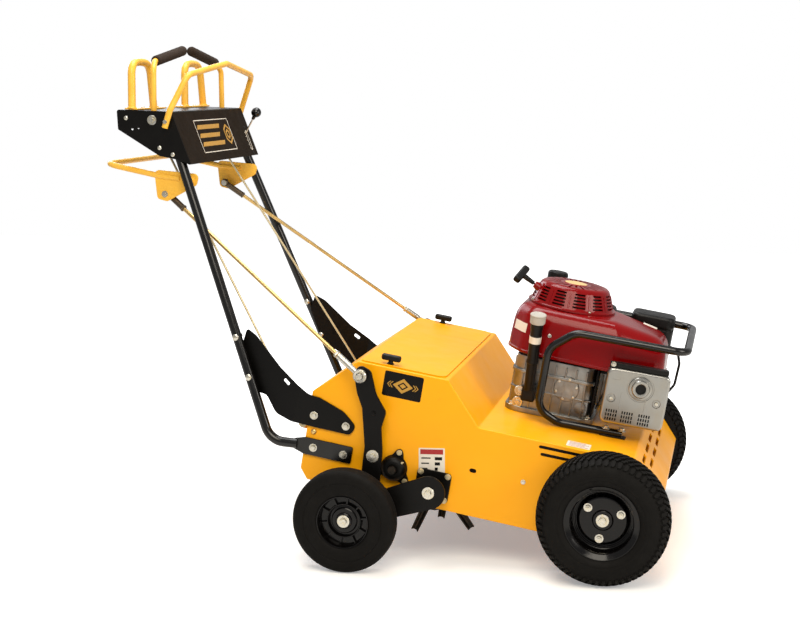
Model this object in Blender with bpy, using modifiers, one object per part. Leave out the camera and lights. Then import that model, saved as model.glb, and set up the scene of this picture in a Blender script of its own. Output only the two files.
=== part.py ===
"""Walk-behind lawn aerator with a core tine rotor, an engine and a lift linkage.

Everything on the machine is drawn in the chassis frame: metres, X forward, Y to the machine's left,
Z up, with the origin on the ground under the front axle when the chassis stands level. The chassis
empty then tips that frame nose down round the front axle, as in transport with the rear wheels down.
"""

import math

import bmesh
import bpy
from mathutils import Vector

RIGHT, LEFT = -1, 1
SIDES = (("right", RIGHT), ("left", LEFT))
AXLE_TO_CENTRE = 0.578
PITCH = math.radians(9.5)
WHEELBASE = 0.632
GAP = 0.0004
SHARP_ANGLE = math.radians(35)

# Front wheels
FRONT_RADIUS = 0.1625
FRONT_WIDTH = 0.118
FRONT_SIDE_GAP = 0.006
RIM_FLANGE_RADIUS = 0.0915
RIM_BARREL_RADIUS = 0.078
AXLE_RADIUS = 0.0125
FRONT_STEPS = 20

# Rear wheels
REAR_RADIUS = 0.130
REAR_WIDTH = 0.062
REAR_ARM_GAP = 0.024
REAR_RIM_RADIUS = 0.0667
STUB_RADIUS = 0.008
REAR_STEPS = 16

# Body
BODY_HALF = 0.368
CUT_REACH = BODY_HALF + 0.032
SHEET = 0.004
DECK_Z = 0.300
HOOD_Z = 0.402
HOOD_REAR_X = -0.673
HOOD_FRONT_X = -0.440
DECK_REAR_X = -0.345
DECK_FRONT_X = 0.045
BODY_REAR_X = -0.777
NOSE_X = 0.130
FRONT_OUTER_Y = BODY_HALF + FRONT_SIDE_GAP + FRONT_WIDTH

# Lid
LID_THICKNESS = 0.003
LID_X = (-0.668, -0.450)
LID_HALF = BODY_HALF - 0.013
HATCH_HALF = LID_HALF - 0.045
KNOB_X = -0.596
KNOB_Y = LID_HALF - 0.016

# Rotor and its drive
ROTOR_X, ROTOR_Z = -0.433, 0.123
TINE_TIP_RADIUS = 0.150
TINE_RADIUS = 0.010
TINES_PER_REEL = 6
OUTER_REEL_Y = BODY_HALF - 0.078
REEL_Y = (-OUTER_REEL_Y, -0.125, 0.125, OUTER_REEL_Y)
ROTOR_SHAFT_RADIUS = 0.0125
IDLER_X, IDLER_Z = -0.537, 0.153
CROSS_X, CROSS_Z = -0.620, 0.225
CHAIN_Y = -(BODY_HALF - 0.023)
CHAIN_HALF_WIDTH = 0.005
CHAIN_THICKNESS = 0.006
ROTOR_SPROCKET = 0.060
CROSS_SPROCKET = 0.025
IDLER_SPROCKET = 0.021
CRANK_X = -0.205
BELT_RADIUS = 0.005
ENGINE_PULLEY = 0.040
CROSS_PULLEY = 0.045
PULLEY_CHEEK = 0.0075
BELT_Z = CROSS_Z + CROSS_PULLEY

# Lift linkage
LEVER_X, LEVER_Z = -0.590, 0.180
LEVER_TOP_X, LEVER_TOP_Z = -0.652, 0.377
LEVER_Y = BODY_HALF + 0.032
LEVER_THICKNESS = 0.008
ARM_Y = LEVER_Y + 0.016
ARM_THICKNESS = 0.008
ARM_FRONT_RADIUS = 0.042
ARM_REAR_RADIUS = 0.034
REAR_OUTER_Y = ARM_Y + ARM_THICKNESS / 2 + REAR_ARM_GAP + REAR_WIDTH
ROD_LOW_Y = LEVER_Y + 0.015
PIVOT_PIN = 0.006
BAIL_X, BAIL_Z = -1.217, 0.753
BAIL_HALF = 0.246
BAIL_BOSS_Y = 0.2575
BAIL_RADIUS = 0.008
BAIL_REAR_X = -1.455
ROD_TOP_X, ROD_TOP_Z = -1.281, 0.706
ROD_TOP_Y = 0.227
ROD_RADIUS = 0.005
ROD_PIN = 0.004

# Handle
TUBE_RADIUS = 0.0125
KNEE = (-0.866, BODY_HALF + 0.003, 0.153)
TUBE_TOP = (-1.264, 0.258, 0.835)
STRAP_REAR_X, STRAP_FRONT_X, STRAP_Z = -0.800, -0.649, 0.160
STRAP_HEIGHT = 0.044
PLATE_THICKNESS = 0.005
GUSSET_BEND_X = -0.815
GUSSET_BEND = 0.300

# Console
CONSOLE_HALF = 0.2815
CONSOLE_SHEET = 0.003
PANEL_TOP = (-1.283, 0.923)
PANEL_BOTTOM = (-1.208, 0.796)
CONSOLE_REAR_TOP = (-1.431, 0.903)
CONSOLE_REAR_BOTTOM = (-1.420, 0.853)
LOOP_X, LOOP_Z = -1.394, 0.917
LOOP_LEGS = (0.118, 0.268)
LOOP_TOP_X, LOOP_TOP_Z = -1.421, 1.028
HANDLE_TUBE_RADIUS = 0.010
CONTROL_X, CONTROL_Z = -1.331, 0.890
CONTROL_Y = 0.266
CONTROL_RADIUS = 0.006
GRIP_RADIUS = 0.0135
CONTROL_ARM = 0.045
CONTROL_ROD_Y = 0.2035
CONTROL_ROD_END = (-0.797, BODY_HALF - 0.038, 0.204)
CONTROL_ROD_RADIUS = 0.003
TUBE_BOLT = (-1.2552, 0.2738, 0.820)
THROTTLE_X, THROTTLE_Z, THROTTLE_Y = -1.262, 0.810, 0.2435

# Engine
ENGINE_Z = DECK_Z + GAP
SHROUD_Z = (0.462, 0.586)
SHROUD_SHEET = 0.003
SHROUD_BREAK_X = -0.078
SHROUD_MIDDLE_X = -0.140
RECOIL_RADIUS = 0.116
RECOIL_TOP_Z = 0.648
ROPE_RADIUS = 0.0025
ROPE_MOUTH = (-0.300, -0.030, 0.624)
ROPE_RISE = math.radians(26)
GRIP_REACH = 0.054
GRIP_ROLL = math.radians(25)
GUARD_RADIUS = 0.0095
GUARD_LOW_Z = DECK_Z + 0.0087
HEAD_X, HEAD_HALF = 0.025, 0.060
TANK_Y = (0.1054, 0.179)
TANK_Z = (0.365, 0.585)
TANK_CAP_X, TANK_CAP_Y, TANK_CAP_Z = -0.270, 0.145, 0.625


def clear_scene():
    """Removes the start-up objects."""
    for obj in list(bpy.data.objects):
        bpy.data.objects.remove(obj)


def new_collection(name, hidden=False):
    found = bpy.data.collections.new(name)
    found.hide_render = hidden
    bpy.context.scene.collection.children.link(found)
    return found


def material(name, colour, roughness, metallic=0.0):
    made = bpy.data.materials.new(name)
    made.use_nodes = True
    shader = made.node_tree.nodes["Principled BSDF"]
    shader.inputs["Base Color"].default_value = (*colour, 1.0)
    shader.inputs["Roughness"].default_value = roughness
    shader.inputs["Metallic"].default_value = metallic
    made.diffuse_color = (*colour, 1.0)
    return made


clear_scene()
PARTS = new_collection("lawn_aerator")
HELPERS = new_collection("helpers", hidden=True)

YELLOW = material("yellow_powder_coat", (0.93, 0.40, 0.02), 0.35)
BLACK = material("black_powder_coat", (0.010, 0.009, 0.008), 0.40)
TYRE = material("black_rubber", (0.018, 0.017, 0.015), 0.75)
WHEEL = material("black_wheel_paint", (0.012, 0.011, 0.010), 0.35)
ZINC = material("yellow_zinc", (0.60, 0.42, 0.16), 0.35, 0.9)
STEEL = material("bright_steel", (0.55, 0.54, 0.52), 0.35, 0.9)
TINE = material("dark_tine_steel", (0.05, 0.045, 0.04), 0.5, 0.6)
CAST = material("cast_aluminium", (0.45, 0.43, 0.40), 0.5, 0.8)
RED = material("red_shroud_paint", (0.45, 0.005, 0.012), 0.3)
PLASTIC = material("black_plastic", (0.015, 0.014, 0.013), 0.5)
SHIELD = material("muffler_steel", (0.40, 0.38, 0.35), 0.4, 0.9)
FOAM = material("grip_foam", (0.035, 0.022, 0.015), 0.9)
BELT = material("drive_belt_rubber", (0.02, 0.02, 0.02), 0.8)
CAP_GREY = material("grey_cap_plastic", (0.45, 0.43, 0.40), 0.5)


def empty(name, place, parent=None):
    """An axis marker at a place in the chassis frame."""
    made = bpy.data.objects.new(name, None)
    made.empty_display_size = 0.05
    made["place"] = list(place)
    above = Vector(parent["place"]) if parent else Vector((0, 0, 0))
    made.parent = parent
    made.location = Vector(place) - above
    PARTS.objects.link(made)
    return made


def hang(obj, parent):
    """Carries an object drawn in the chassis frame on an empty, and its Boolean tools with it."""
    obj.parent = parent
    obj.location = obj.location - Vector(parent["place"])
    for step in obj.modifiers:
        if step.type == "BOOLEAN":
            hang(step.object, parent)
    return obj


def add_object(name, data, mat, place=(0, 0, 0), turn=(0, 0, 0), collection=None):
    obj = bpy.data.objects.new(name, data)
    obj.location = place
    obj.rotation_euler = turn
    if mat:
        data.materials.append(mat)
    (collection or PARTS).objects.link(obj)
    return obj


def from_bmesh(name, bm, mat, collection=None):
    mesh = bpy.data.meshes.new(name)
    bmesh.ops.recalc_face_normals(bm, faces=bm.faces)
    bm.to_mesh(mesh)
    bm.free()
    return add_object(name, mesh, mat, collection=collection)


def box(name, low, high, mat=None, collection=None):
    """A box between two corners."""
    low, high = Vector(low), Vector(high)
    bm = bmesh.new()
    bmesh.ops.create_cube(bm, size=1.0)
    bmesh.ops.scale(bm, vec=high - low, verts=bm.verts)
    bmesh.ops.translate(bm, vec=(low + high) / 2, verts=bm.verts)
    return from_bmesh(name, bm, mat, collection)


def rod(name, start, end, radius, mat=None, sides=10, end_radius=None, collection=None):
    """A cylinder or cone between two points."""
    start, end = Vector(start), Vector(end)
    along = end - start
    bm = bmesh.new()
    bmesh.ops.create_cone(
        bm,
        cap_ends=True,
        segments=sides,
        radius1=radius,
        radius2=radius if end_radius is None else end_radius,
        depth=along.length,
    )
    turn = along.to_track_quat("Z", "Y").to_matrix().to_4x4()
    turn.translation = (start + end) / 2
    bmesh.ops.transform(bm, matrix=turn, verts=bm.verts)
    return from_bmesh(name, bm, mat, collection)


def ball(name, centre, radius, mat=None, collection=None):
    bm = bmesh.new()
    bmesh.ops.create_uvsphere(bm, u_segments=12, v_segments=6, radius=radius)
    bmesh.ops.translate(bm, vec=centre, verts=bm.verts)
    return from_bmesh(name, bm, mat, collection)


def fillet(points, radius, steps=3, closed=False):
    """The points with each corner replaced by an arc."""
    points = [Vector(p) for p in points]
    count = len(points)
    out = []
    for i, corner in enumerate(points):
        if not closed and i in (0, count - 1):
            out.append(corner)
            continue
        before = points[i - 1] - corner
        after = points[(i + 1) % count] - corner
        angle = before.angle(after)
        size = radius[i] if isinstance(radius, (list, tuple)) else radius
        reach = min(size / math.tan(angle / 2), 0.49 * before.length, 0.49 * after.length)
        if size <= 0 or math.pi - angle < 0.02:
            out.append(corner)
            continue
        bend = reach * math.tan(angle / 2)
        first, second = before.normalized(), after.normalized()
        centre = corner + (first + second).normalized() * (bend / math.sin(angle / 2))
        start = corner + first * reach - centre
        end = corner + second * reach - centre
        swing = start.angle(end)
        for step in range(steps + 1):
            t = step / steps
            weight = math.sin(swing)
            arm = start * (math.sin((1 - t) * swing) / weight) + end * (math.sin(t * swing) / weight)
            out.append(centre + arm)
    return out


def tube(name, points, radius, mat=None, resolution=2, collection=None, cyclic=False):
    """A round tube along points, meshed from a curve with filled caps."""
    curve = bpy.data.curves.new(name, "CURVE")
    curve.dimensions = "3D"
    curve.bevel_depth = radius
    curve.bevel_resolution = resolution
    curve.use_fill_caps = True
    spline = curve.splines.new("POLY")
    spline.points.add(len(points) - 1)
    for target, point in zip(spline.points, points):
        target.co = (*point, 1.0)
    spline.use_cyclic_u = cyclic
    return meshed(name, curve, mat, collection)


def meshed(name, curve, mat, collection=None, turn=(0, 0, 0), place=(0, 0, 0)):
    """Turns a curve into a closed mesh object."""
    guide = add_object(name + "_curve", curve, None, collection=HELPERS)
    graph = bpy.context.evaluated_depsgraph_get()
    graph.update()
    mesh = bpy.data.meshes.new_from_object(guide.evaluated_get(graph))
    bpy.data.objects.remove(guide)
    bm = bmesh.new()
    bm.from_mesh(mesh)
    bmesh.ops.remove_doubles(bm, verts=bm.verts, dist=1e-5)
    bmesh.ops.recalc_face_normals(bm, faces=bm.faces)
    bm.to_mesh(mesh)
    bm.free()
    mesh.name = name
    return add_object(name, mesh, mat, place, turn, collection)


def outline_curve(name, outline, depth):
    curve = bpy.data.curves.new(name, "CURVE")
    curve.dimensions = "2D"
    curve.fill_mode = "BOTH"
    curve.extrude = depth / 2
    spline = curve.splines.new("POLY")
    spline.points.add(len(outline) - 1)
    for target, point in zip(spline.points, outline):
        target.co = (point[0], point[1], 0.0, 1.0)
    spline.use_cyclic_u = True
    return curve


def side_plate(name, outline, thickness, y, mat=None, collection=None):
    """A flat plate whose outline is in X and Z, standing at y."""
    curve = outline_curve(name, outline, thickness)
    return meshed(name, curve, mat, collection, (math.pi / 2, 0, 0), (0, y, 0))


def floor_plate(name, outline, low, high, mat=None, collection=None):
    """A flat plate whose outline is in X and Y, between two heights."""
    curve = outline_curve(name, outline, high - low)
    return meshed(name, curve, mat, collection, place=(0, 0, (low + high) / 2))


def turned(name, profile, centre, side, mat, steps):
    """A turned ring on a lateral axis. Profile points are (radius, distance outboard of centre).

    The turn by the pitch sets one corner of the ring straight down when the chassis is tipped.
    """
    bm = bmesh.new()
    verts = [bm.verts.new((r, 0.0, h)) for r, h in profile]
    for a, b in zip(verts, verts[1:] + verts[:1]):
        bm.edges.new((a, b))
    mesh = bpy.data.meshes.new(name)
    bm.to_mesh(mesh)
    bm.free()
    obj = add_object(name, mesh, mat, centre, (-side * math.pi / 2, -PITCH, 0))
    screw = obj.modifiers.new("turn", "SCREW")
    screw.steps = screw.render_steps = steps
    screw.use_merge_vertices = True
    screw.merge_threshold = 0.00005
    return obj


def boolean(obj, other, operation):
    step = obj.modifiers.new(operation.lower(), "BOOLEAN")
    step.operation = operation
    step.solver = "EXACT"
    step.object = other
    other.hide_render = True
    other.display_type = "WIRE"
    for owner in list(other.users_collection):
        owner.objects.unlink(other)
    HELPERS.objects.link(other)


def weld(obj, *others):
    for other in others:
        boolean(obj, other, "UNION")
    return obj


def cut(obj, *others):
    for other in others:
        boolean(obj, other, "DIFFERENCE")
    return obj


def lateral(name, x, z, y_from, y_to, radius, mat=None, sides=10, end_radius=None):
    """A cylinder along Y."""
    return rod(name, (x, y_from, z), (x, y_to, z), radius, mat, sides, end_radius)


def to_chassis(x, z):
    """A world place, with X from the front axle, in the chassis frame."""
    c, s = math.cos(PITCH), math.sin(PITCH)
    dz = z - FRONT_RADIUS
    return c * x - s * dz, s * x + c * dz + FRONT_RADIUS


CHASSIS = empty("chassis", (0, 0, 0))
CHASSIS.rotation_euler = (0, PITCH, 0)
CHASSIS.location = (
    AXLE_TO_CENTRE - FRONT_RADIUS * math.sin(PITCH),
    0,
    FRONT_RADIUS - FRONT_RADIUS * math.cos(PITCH),
)
REAR_X, REAR_Z = to_chassis(-WHEELBASE, REAR_RADIUS)


def body_shell():
    outline = [
        (-0.756, 0.072),
        (BODY_REAR_X, 0.098),
        (BODY_REAR_X, DECK_Z + 0.002),
        (HOOD_REAR_X, HOOD_Z),
        (HOOD_FRONT_X, HOOD_Z),
        (DECK_REAR_X, DECK_Z),
        (DECK_FRONT_X, DECK_Z),
        (NOSE_X, 0.205),
        (NOSE_X, 0.095),
        (0.105, 0.072),
    ]
    body = side_plate("body_shell", outline, 2 * BODY_HALF, 0, YELLOW)
    bm = bmesh.new()
    bm.from_mesh(body.data)
    bottom = [f for f in bm.faces if all(v.co.y < 0.0721 for v in f.verts)]
    bmesh.ops.delete(bm, geom=bottom, context="FACES")
    bm.to_mesh(body.data)
    bm.free()
    wall = body.modifiers.new("sheet", "SOLIDIFY")
    wall.thickness = SHEET
    wall.offset = -1
    wall.use_even_offset = True
    hatch_corners = [(-0.640, -HATCH_HALF), (-0.480, -HATCH_HALF), (-0.480, HATCH_HALF), (-0.640, HATCH_HALF)]
    hatch = fillet(hatch_corners, 0.02, closed=True)
    cut(body, floor_plate("hatch", hatch, HOOD_Z - 0.02, HOOD_Z + 0.02))
    cut(body, lateral("axle_bore", 0, FRONT_RADIUS, -CUT_REACH, CUT_REACH, AXLE_RADIUS + 0.001))
    cut(body, lateral("rotor_bore", ROTOR_X, ROTOR_Z, -CUT_REACH, CUT_REACH, 0.022))
    cut(body, lateral("cross_bore", CROSS_X, CROSS_Z, -CUT_REACH, CUT_REACH, 0.0088))
    cut(body, lateral("idler_bore", IDLER_X, IDLER_Z, -CUT_REACH, -(BODY_HALF - 0.068), 0.014))
    cut(body, lateral("lever_bore", LEVER_X, LEVER_Z, -CUT_REACH, CUT_REACH, PIVOT_PIN + GAP))
    crank = rod("crank_bore", (CRANK_X, 0, 0.25), (CRANK_X, 0, 0.35), 0.028)
    cut(body, crank)
    for side in (RIGHT, LEFT):
        for x0, x1, z in ((-0.190, -0.070, 0.286), (-0.172, -0.088, 0.268)):
            low, high = sorted((side * (BODY_HALF - 0.018), side * CUT_REACH))
            cut(body, box("side_slot", (x0, low, z - 0.0035), (x1, high, z + 0.0035)))
        lug = (CONTROL_ROD_END[1] - 0.0081 - GAP) * side
        near, far = sorted((lug, lug - side * 0.004))
        lug_low, lug_high = CONTROL_ROD_END[2] - 0.014, CONTROL_ROD_END[2] + 0.014
        weld(body, box("rod_lug", (-0.812, near, lug_low), (BODY_REAR_X + 0.002, far, lug_high)))
        low, high = sorted((side * (BODY_HALF - 0.018), side * CUT_REACH))
        cut(body, box("sight_slot", (-0.347, low, 0.185), (-0.333, high, 0.193)))
    for row, x in enumerate((0.064, 0.083)):
        z = DECK_Z - (x - DECK_FRONT_X) * (DECK_Z - 0.205) / (NOSE_X - DECK_FRONT_X)
        for i in range(-2, 3 - row):
            y = 0.118 * i + 0.059 * row
            slot = box("nose_slot", (-0.0055, y - 0.042, -0.02), (0.0055, y + 0.042, 0.02))
            slot.location = (x, 0, z)
            slot.rotation_euler = (0, math.radians(48), 0)
            cut(body, slot)
    hang(body, CHASSIS)


def hood_lid():
    axis = empty("lid_axis", (KNOB_X, 0, HOOD_Z + LID_THICKNESS), CHASSIS)
    corners = [(x, y) for x, y in ((LID_X[0], -1), (LID_X[1], -1), (LID_X[1], 1), (LID_X[0], 1))]
    outline = fillet([(x, y * LID_HALF) for x, y in corners], [0.005, 0.025, 0.025, 0.005], 3, True)
    low = HOOD_Z + GAP
    lid = floor_plate("hood_lid", outline, low, low + LID_THICKNESS, YELLOW)
    hang(lid, axis)
    for name, side in SIDES:
        y = side * KNOB_Y
        knob_axis = empty(name + "_knob_axis", (KNOB_X, y, HOOD_Z), axis)
        base = low + LID_THICKNESS + GAP
        knob = rod(name + "_lid_knob", (KNOB_X, y, base), (KNOB_X, y, base + 0.012), 0.009, PLASTIC)
        bar_low = (KNOB_X - 0.025, y - 0.007, base + 0.010)
        weld(knob, box("knob_bar", bar_low, (KNOB_X + 0.025, y + 0.007, base + 0.024)))
        hang(knob, knob_axis)


def front_wheels():
    half = FRONT_WIDTH / 2
    mid = FRONT_OUTER_Y - half
    hub_out = 0.020
    end = mid + hub_out + 0.002
    axle = lateral("front_axle", 0, FRONT_RADIUS, -end, end, AXLE_RADIUS, STEEL, 16)
    for side in (RIGHT, LEFT):
        face = side * (mid + hub_out)
        washer = lateral("washer", 0, FRONT_RADIUS, face, face + side * 0.003, 0.016)
        head = lateral("head", 0, FRONT_RADIUS, face + side * 0.002, face + side * 0.009, 0.0095, sides=6)
        weld(axle, washer, head)
    hang(axle, CHASSIS)
    bore = AXLE_RADIUS + GAP
    rim_profile = [
        (bore, -half + 0.006),
        (bore, hub_out - GAP),
        (0.024, hub_out - GAP),
        (0.026, 0.012),
        (0.074, 0.010),
        (0.074, 0.044),
        (RIM_FLANGE_RADIUS, 0.050),
        (RIM_BARREL_RADIUS, 0.041),
        (RIM_BARREL_RADIUS, -0.041),
        (RIM_FLANGE_RADIUS, -0.050),
        (0.074, -0.044),
        (0.074, 0.004),
        (0.024, 0.004),
        (0.024, -half + 0.006),
    ]
    bead = RIM_BARREL_RADIUS + GAP
    lip = RIM_FLANGE_RADIUS + GAP
    outer = [(bead, 0.0400), (lip, 0.0495), (0.112, half), (0.145, half - 0.003), (FRONT_RADIUS, 0.030)]
    tyre_profile = outer + [(r, -h) for r, h in reversed(outer)]
    for name, side in SIDES:
        centre = (0, side * mid, FRONT_RADIUS)
        axis = empty(name + "_front_wheel_axis", centre, CHASSIS)
        hang(turned(name + "_front_rim", rim_profile, centre, side, WHEEL, FRONT_STEPS), axis)
        hang(turned(name + "_front_tyre", tyre_profile, centre, side, TYRE, FRONT_STEPS), axis)


def rear_wheels(name, side, arm_axis):
    half = REAR_WIDTH / 2
    mid = REAR_OUTER_Y - half
    centre = (REAR_X, side * mid, REAR_Z)
    axis = empty(name + "_rear_wheel_axis", centre, arm_axis)
    bore = STUB_RADIUS + GAP
    rim_profile = [
        (bore, -half),
        (bore, 0.014),
        (0.020, 0.014),
        (0.022, 0.006),
        (REAR_RIM_RADIUS - 0.004, 0.004),
        (REAR_RIM_RADIUS - 0.004, half - 0.004),
        (REAR_RIM_RADIUS, half - 0.004),
        (REAR_RIM_RADIUS, -half + 0.004),
        (REAR_RIM_RADIUS - 0.004, -half + 0.004),
        (REAR_RIM_RADIUS - 0.004, -0.004),
        (0.022, -0.004),
        (0.020, -half),
    ]
    inner = REAR_RIM_RADIUS + GAP
    outer = [(inner, half - 0.003), (0.075, half), (0.112, half), (0.126, half - 0.005)]
    outer += [(REAR_RADIUS, half - 0.014)]
    tyre_profile = outer + [(r, -h) for r, h in reversed(outer)]
    hang(turned(name + "_rear_rim", rim_profile, centre, side, WHEEL, REAR_STEPS), axis)
    hang(turned(name + "_rear_tyre", tyre_profile, centre, side, TYRE, REAR_STEPS), axis)


def lift_side(name, side):
    """The arm with its rear wheel, the upright lever and the long rod of one side."""
    arm_axis = empty(name + "_arm_axis", (ROTOR_X, side * ARM_Y, ROTOR_Z), CHASSIS)
    along = Vector((REAR_X - ROTOR_X, REAR_Z - ROTOR_Z)).normalized()
    across = Vector((-along.y, along.x))
    front, rear = Vector((ROTOR_X, ROTOR_Z)), Vector((REAR_X, REAR_Z))
    outline = []
    for i in range(9):
        turn = math.radians(-90 + 22.5 * i)
        outline.append(front + ARM_FRONT_RADIUS * (across * math.sin(turn) - along * math.cos(turn)))
    for i in range(7):
        turn = math.radians(-90 + 30 * i)
        outline.append(rear + ARM_REAR_RADIUS * (along * math.cos(turn) - across * math.sin(turn)))
    arm = side_plate(name + "_lift_arm", outline, ARM_THICKNESS, side * ARM_Y, BLACK)
    wheel_in = side * (REAR_OUTER_Y - REAR_WIDTH - GAP)
    stub_end = side * (REAR_OUTER_Y - REAR_WIDTH / 2 + 0.0145)
    spacer = lateral("spacer", REAR_X, REAR_Z, side * ARM_Y, wheel_in, 0.016)
    stub = lateral("stub", REAR_X, REAR_Z, side * ARM_Y, stub_end + side * 0.004, STUB_RADIUS)
    washer = lateral("washer", REAR_X, REAR_Z, stub_end, stub_end + side * 0.003, 0.0158)
    head = lateral("head", REAR_X, REAR_Z, stub_end + side * 0.002, stub_end + side * 0.009, 0.009, sides=6)
    weld(arm, spacer, stub, washer, head)
    pin_end = side * (ARM_Y + ARM_THICKNESS / 2 + 0.006)
    pin = lateral("pin", ROTOR_X, ROTOR_Z, pin_end, side * (ARM_Y - 0.021), PIVOT_PIN)
    weld(arm, pin)
    hang(arm, arm_axis)
    rear_wheels(name, side, arm_axis)

    lever_axis = empty(name + "_lever_axis", (LEVER_X, side * LEVER_Y, LEVER_Z), CHASSIS)
    lever_outline = fillet(
        [
            (-0.660, 0.402),
            (-0.672, 0.380),
            (-0.655, 0.330),
            (-0.636, 0.295),
            (-0.614, 0.200),
            (-0.610, 0.100),
            (-0.560, 0.100),
            (-0.568, 0.200),
            (-0.580, 0.255),
            (-0.574, 0.297),
            (-0.607, 0.337),
            (-0.629, 0.392),
        ],
        [0.02, 0.02, 0, 0, 0.05, 0.015, 0.015, 0.05, 0, 0.015, 0.05, 0.02],
        2,
        closed=True,
    )
    lever = side_plate(name + "_lift_lever", lever_outline, LEVER_THICKNESS, side * LEVER_Y, BLACK)
    face = side * (LEVER_Y + LEVER_THICKNESS / 2)
    bolt = lateral("bolt", LEVER_X, LEVER_Z, face - side * 0.002, face + side * 0.006, 0.009, sides=6)
    boss = lateral("boss", LEVER_X, LEVER_Z, side * (BODY_HALF + GAP), side * LEVER_Y, 0.013)
    pin = lateral("pin", LEVER_X, LEVER_Z, side * (BODY_HALF - 0.011), side * LEVER_Y, PIVOT_PIN)
    weld(lever, bolt, boss, pin)
    hang(lever, lever_axis)


def lift_rod(name, side, bail_axis):
    """The rod hangs on the bail. Its lower eye lies beside the lever, so the loop is open there."""
    top = Vector((ROD_TOP_X, side * ROD_TOP_Y, ROD_TOP_Z))
    low = Vector((LEVER_TOP_X, side * ROD_LOW_Y, LEVER_TOP_Z))
    axis = empty(name + "_rod_axis", top, bail_axis)
    along = (low - top).normalized()
    bar = rod(name + "_lift_rod", top, low, ROD_RADIUS, ZINC, 12)
    barrel = rod("barrel", low - along * 0.075, low - along * 0.030, 0.0085)
    clevis = rod("clevis", top + along * 0.008, top + along * 0.080, 0.0065, sides=8)
    eye = lateral("eye", low.x, low.z, low.y - side * 0.0065, low.y + side * 0.0065, 0.017)
    bolt = lateral("bolt", low.x, low.z, low.y, low.y + side * 0.012, 0.009, sides=6)
    top_eye = lateral("top_eye", top.x, top.z, top.y - side * 0.005, top.y + side * 0.005, 0.011)
    weld(bar, barrel, clevis, eye, bolt, top_eye)
    cut(bar, lateral("eye_bore", top.x, top.z, top.y - 0.02, top.y + 0.02, ROD_PIN + GAP, sides=12))
    hang(bar, axis)


def lift_bail():
    axis = empty("bail_axis", (BAIL_X, 0, BAIL_Z), CHASSIS)
    corners = [
        (BAIL_X - 0.030, -BAIL_HALF, BAIL_Z),
        (BAIL_X - 0.089, -BAIL_HALF, BAIL_Z - 0.003),
        (BAIL_REAR_X, -BAIL_HALF, BAIL_Z + 0.002),
        (BAIL_REAR_X, BAIL_HALF, BAIL_Z + 0.002),
        (BAIL_X - 0.089, BAIL_HALF, BAIL_Z - 0.003),
        (BAIL_X - 0.030, BAIL_HALF, BAIL_Z),
    ]
    bail = tube("lift_bail", fillet(corners, [0, 0.08, 0.035, 0.035, 0.08, 0], 3), BAIL_RADIUS, YELLOW, 1)
    bracket = fillet(
        [
            (BAIL_X + 0.021, BAIL_Z + 0.021),
            (BAIL_X + 0.018, BAIL_Z - 0.009),
            (ROD_TOP_X + 0.009, ROD_TOP_Z - 0.018),
            (ROD_TOP_X - 0.019, ROD_TOP_Z - 0.016),
            (ROD_TOP_X - 0.039, BAIL_Z + 0.011),
        ],
        0.012,
        2,
        closed=True,
    )
    for side in (RIGHT, LEFT):
        plate = side_plate("bail_plate", bracket, 0.006, side * BAIL_HALF)
        boss = lateral("boss", BAIL_X, BAIL_Z, side * BAIL_HALF, side * BAIL_BOSS_Y, 0.010)
        eye_in = ROD_TOP_Y - 0.0055
        pin_ends = side * BAIL_HALF, side * (eye_in - 0.002)
        pin = lateral("pin", ROD_TOP_X, ROD_TOP_Z, *pin_ends, ROD_PIN, sides=12)
        clip = lateral("clip", ROD_TOP_X, ROD_TOP_Z, side * eye_in, side * (eye_in - 0.004), 0.008)
        weld(bail, plate, boss, pin, clip)
    hang(bail, axis)
    for name, side in SIDES:
        lift_rod(name, side, axis)


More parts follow.
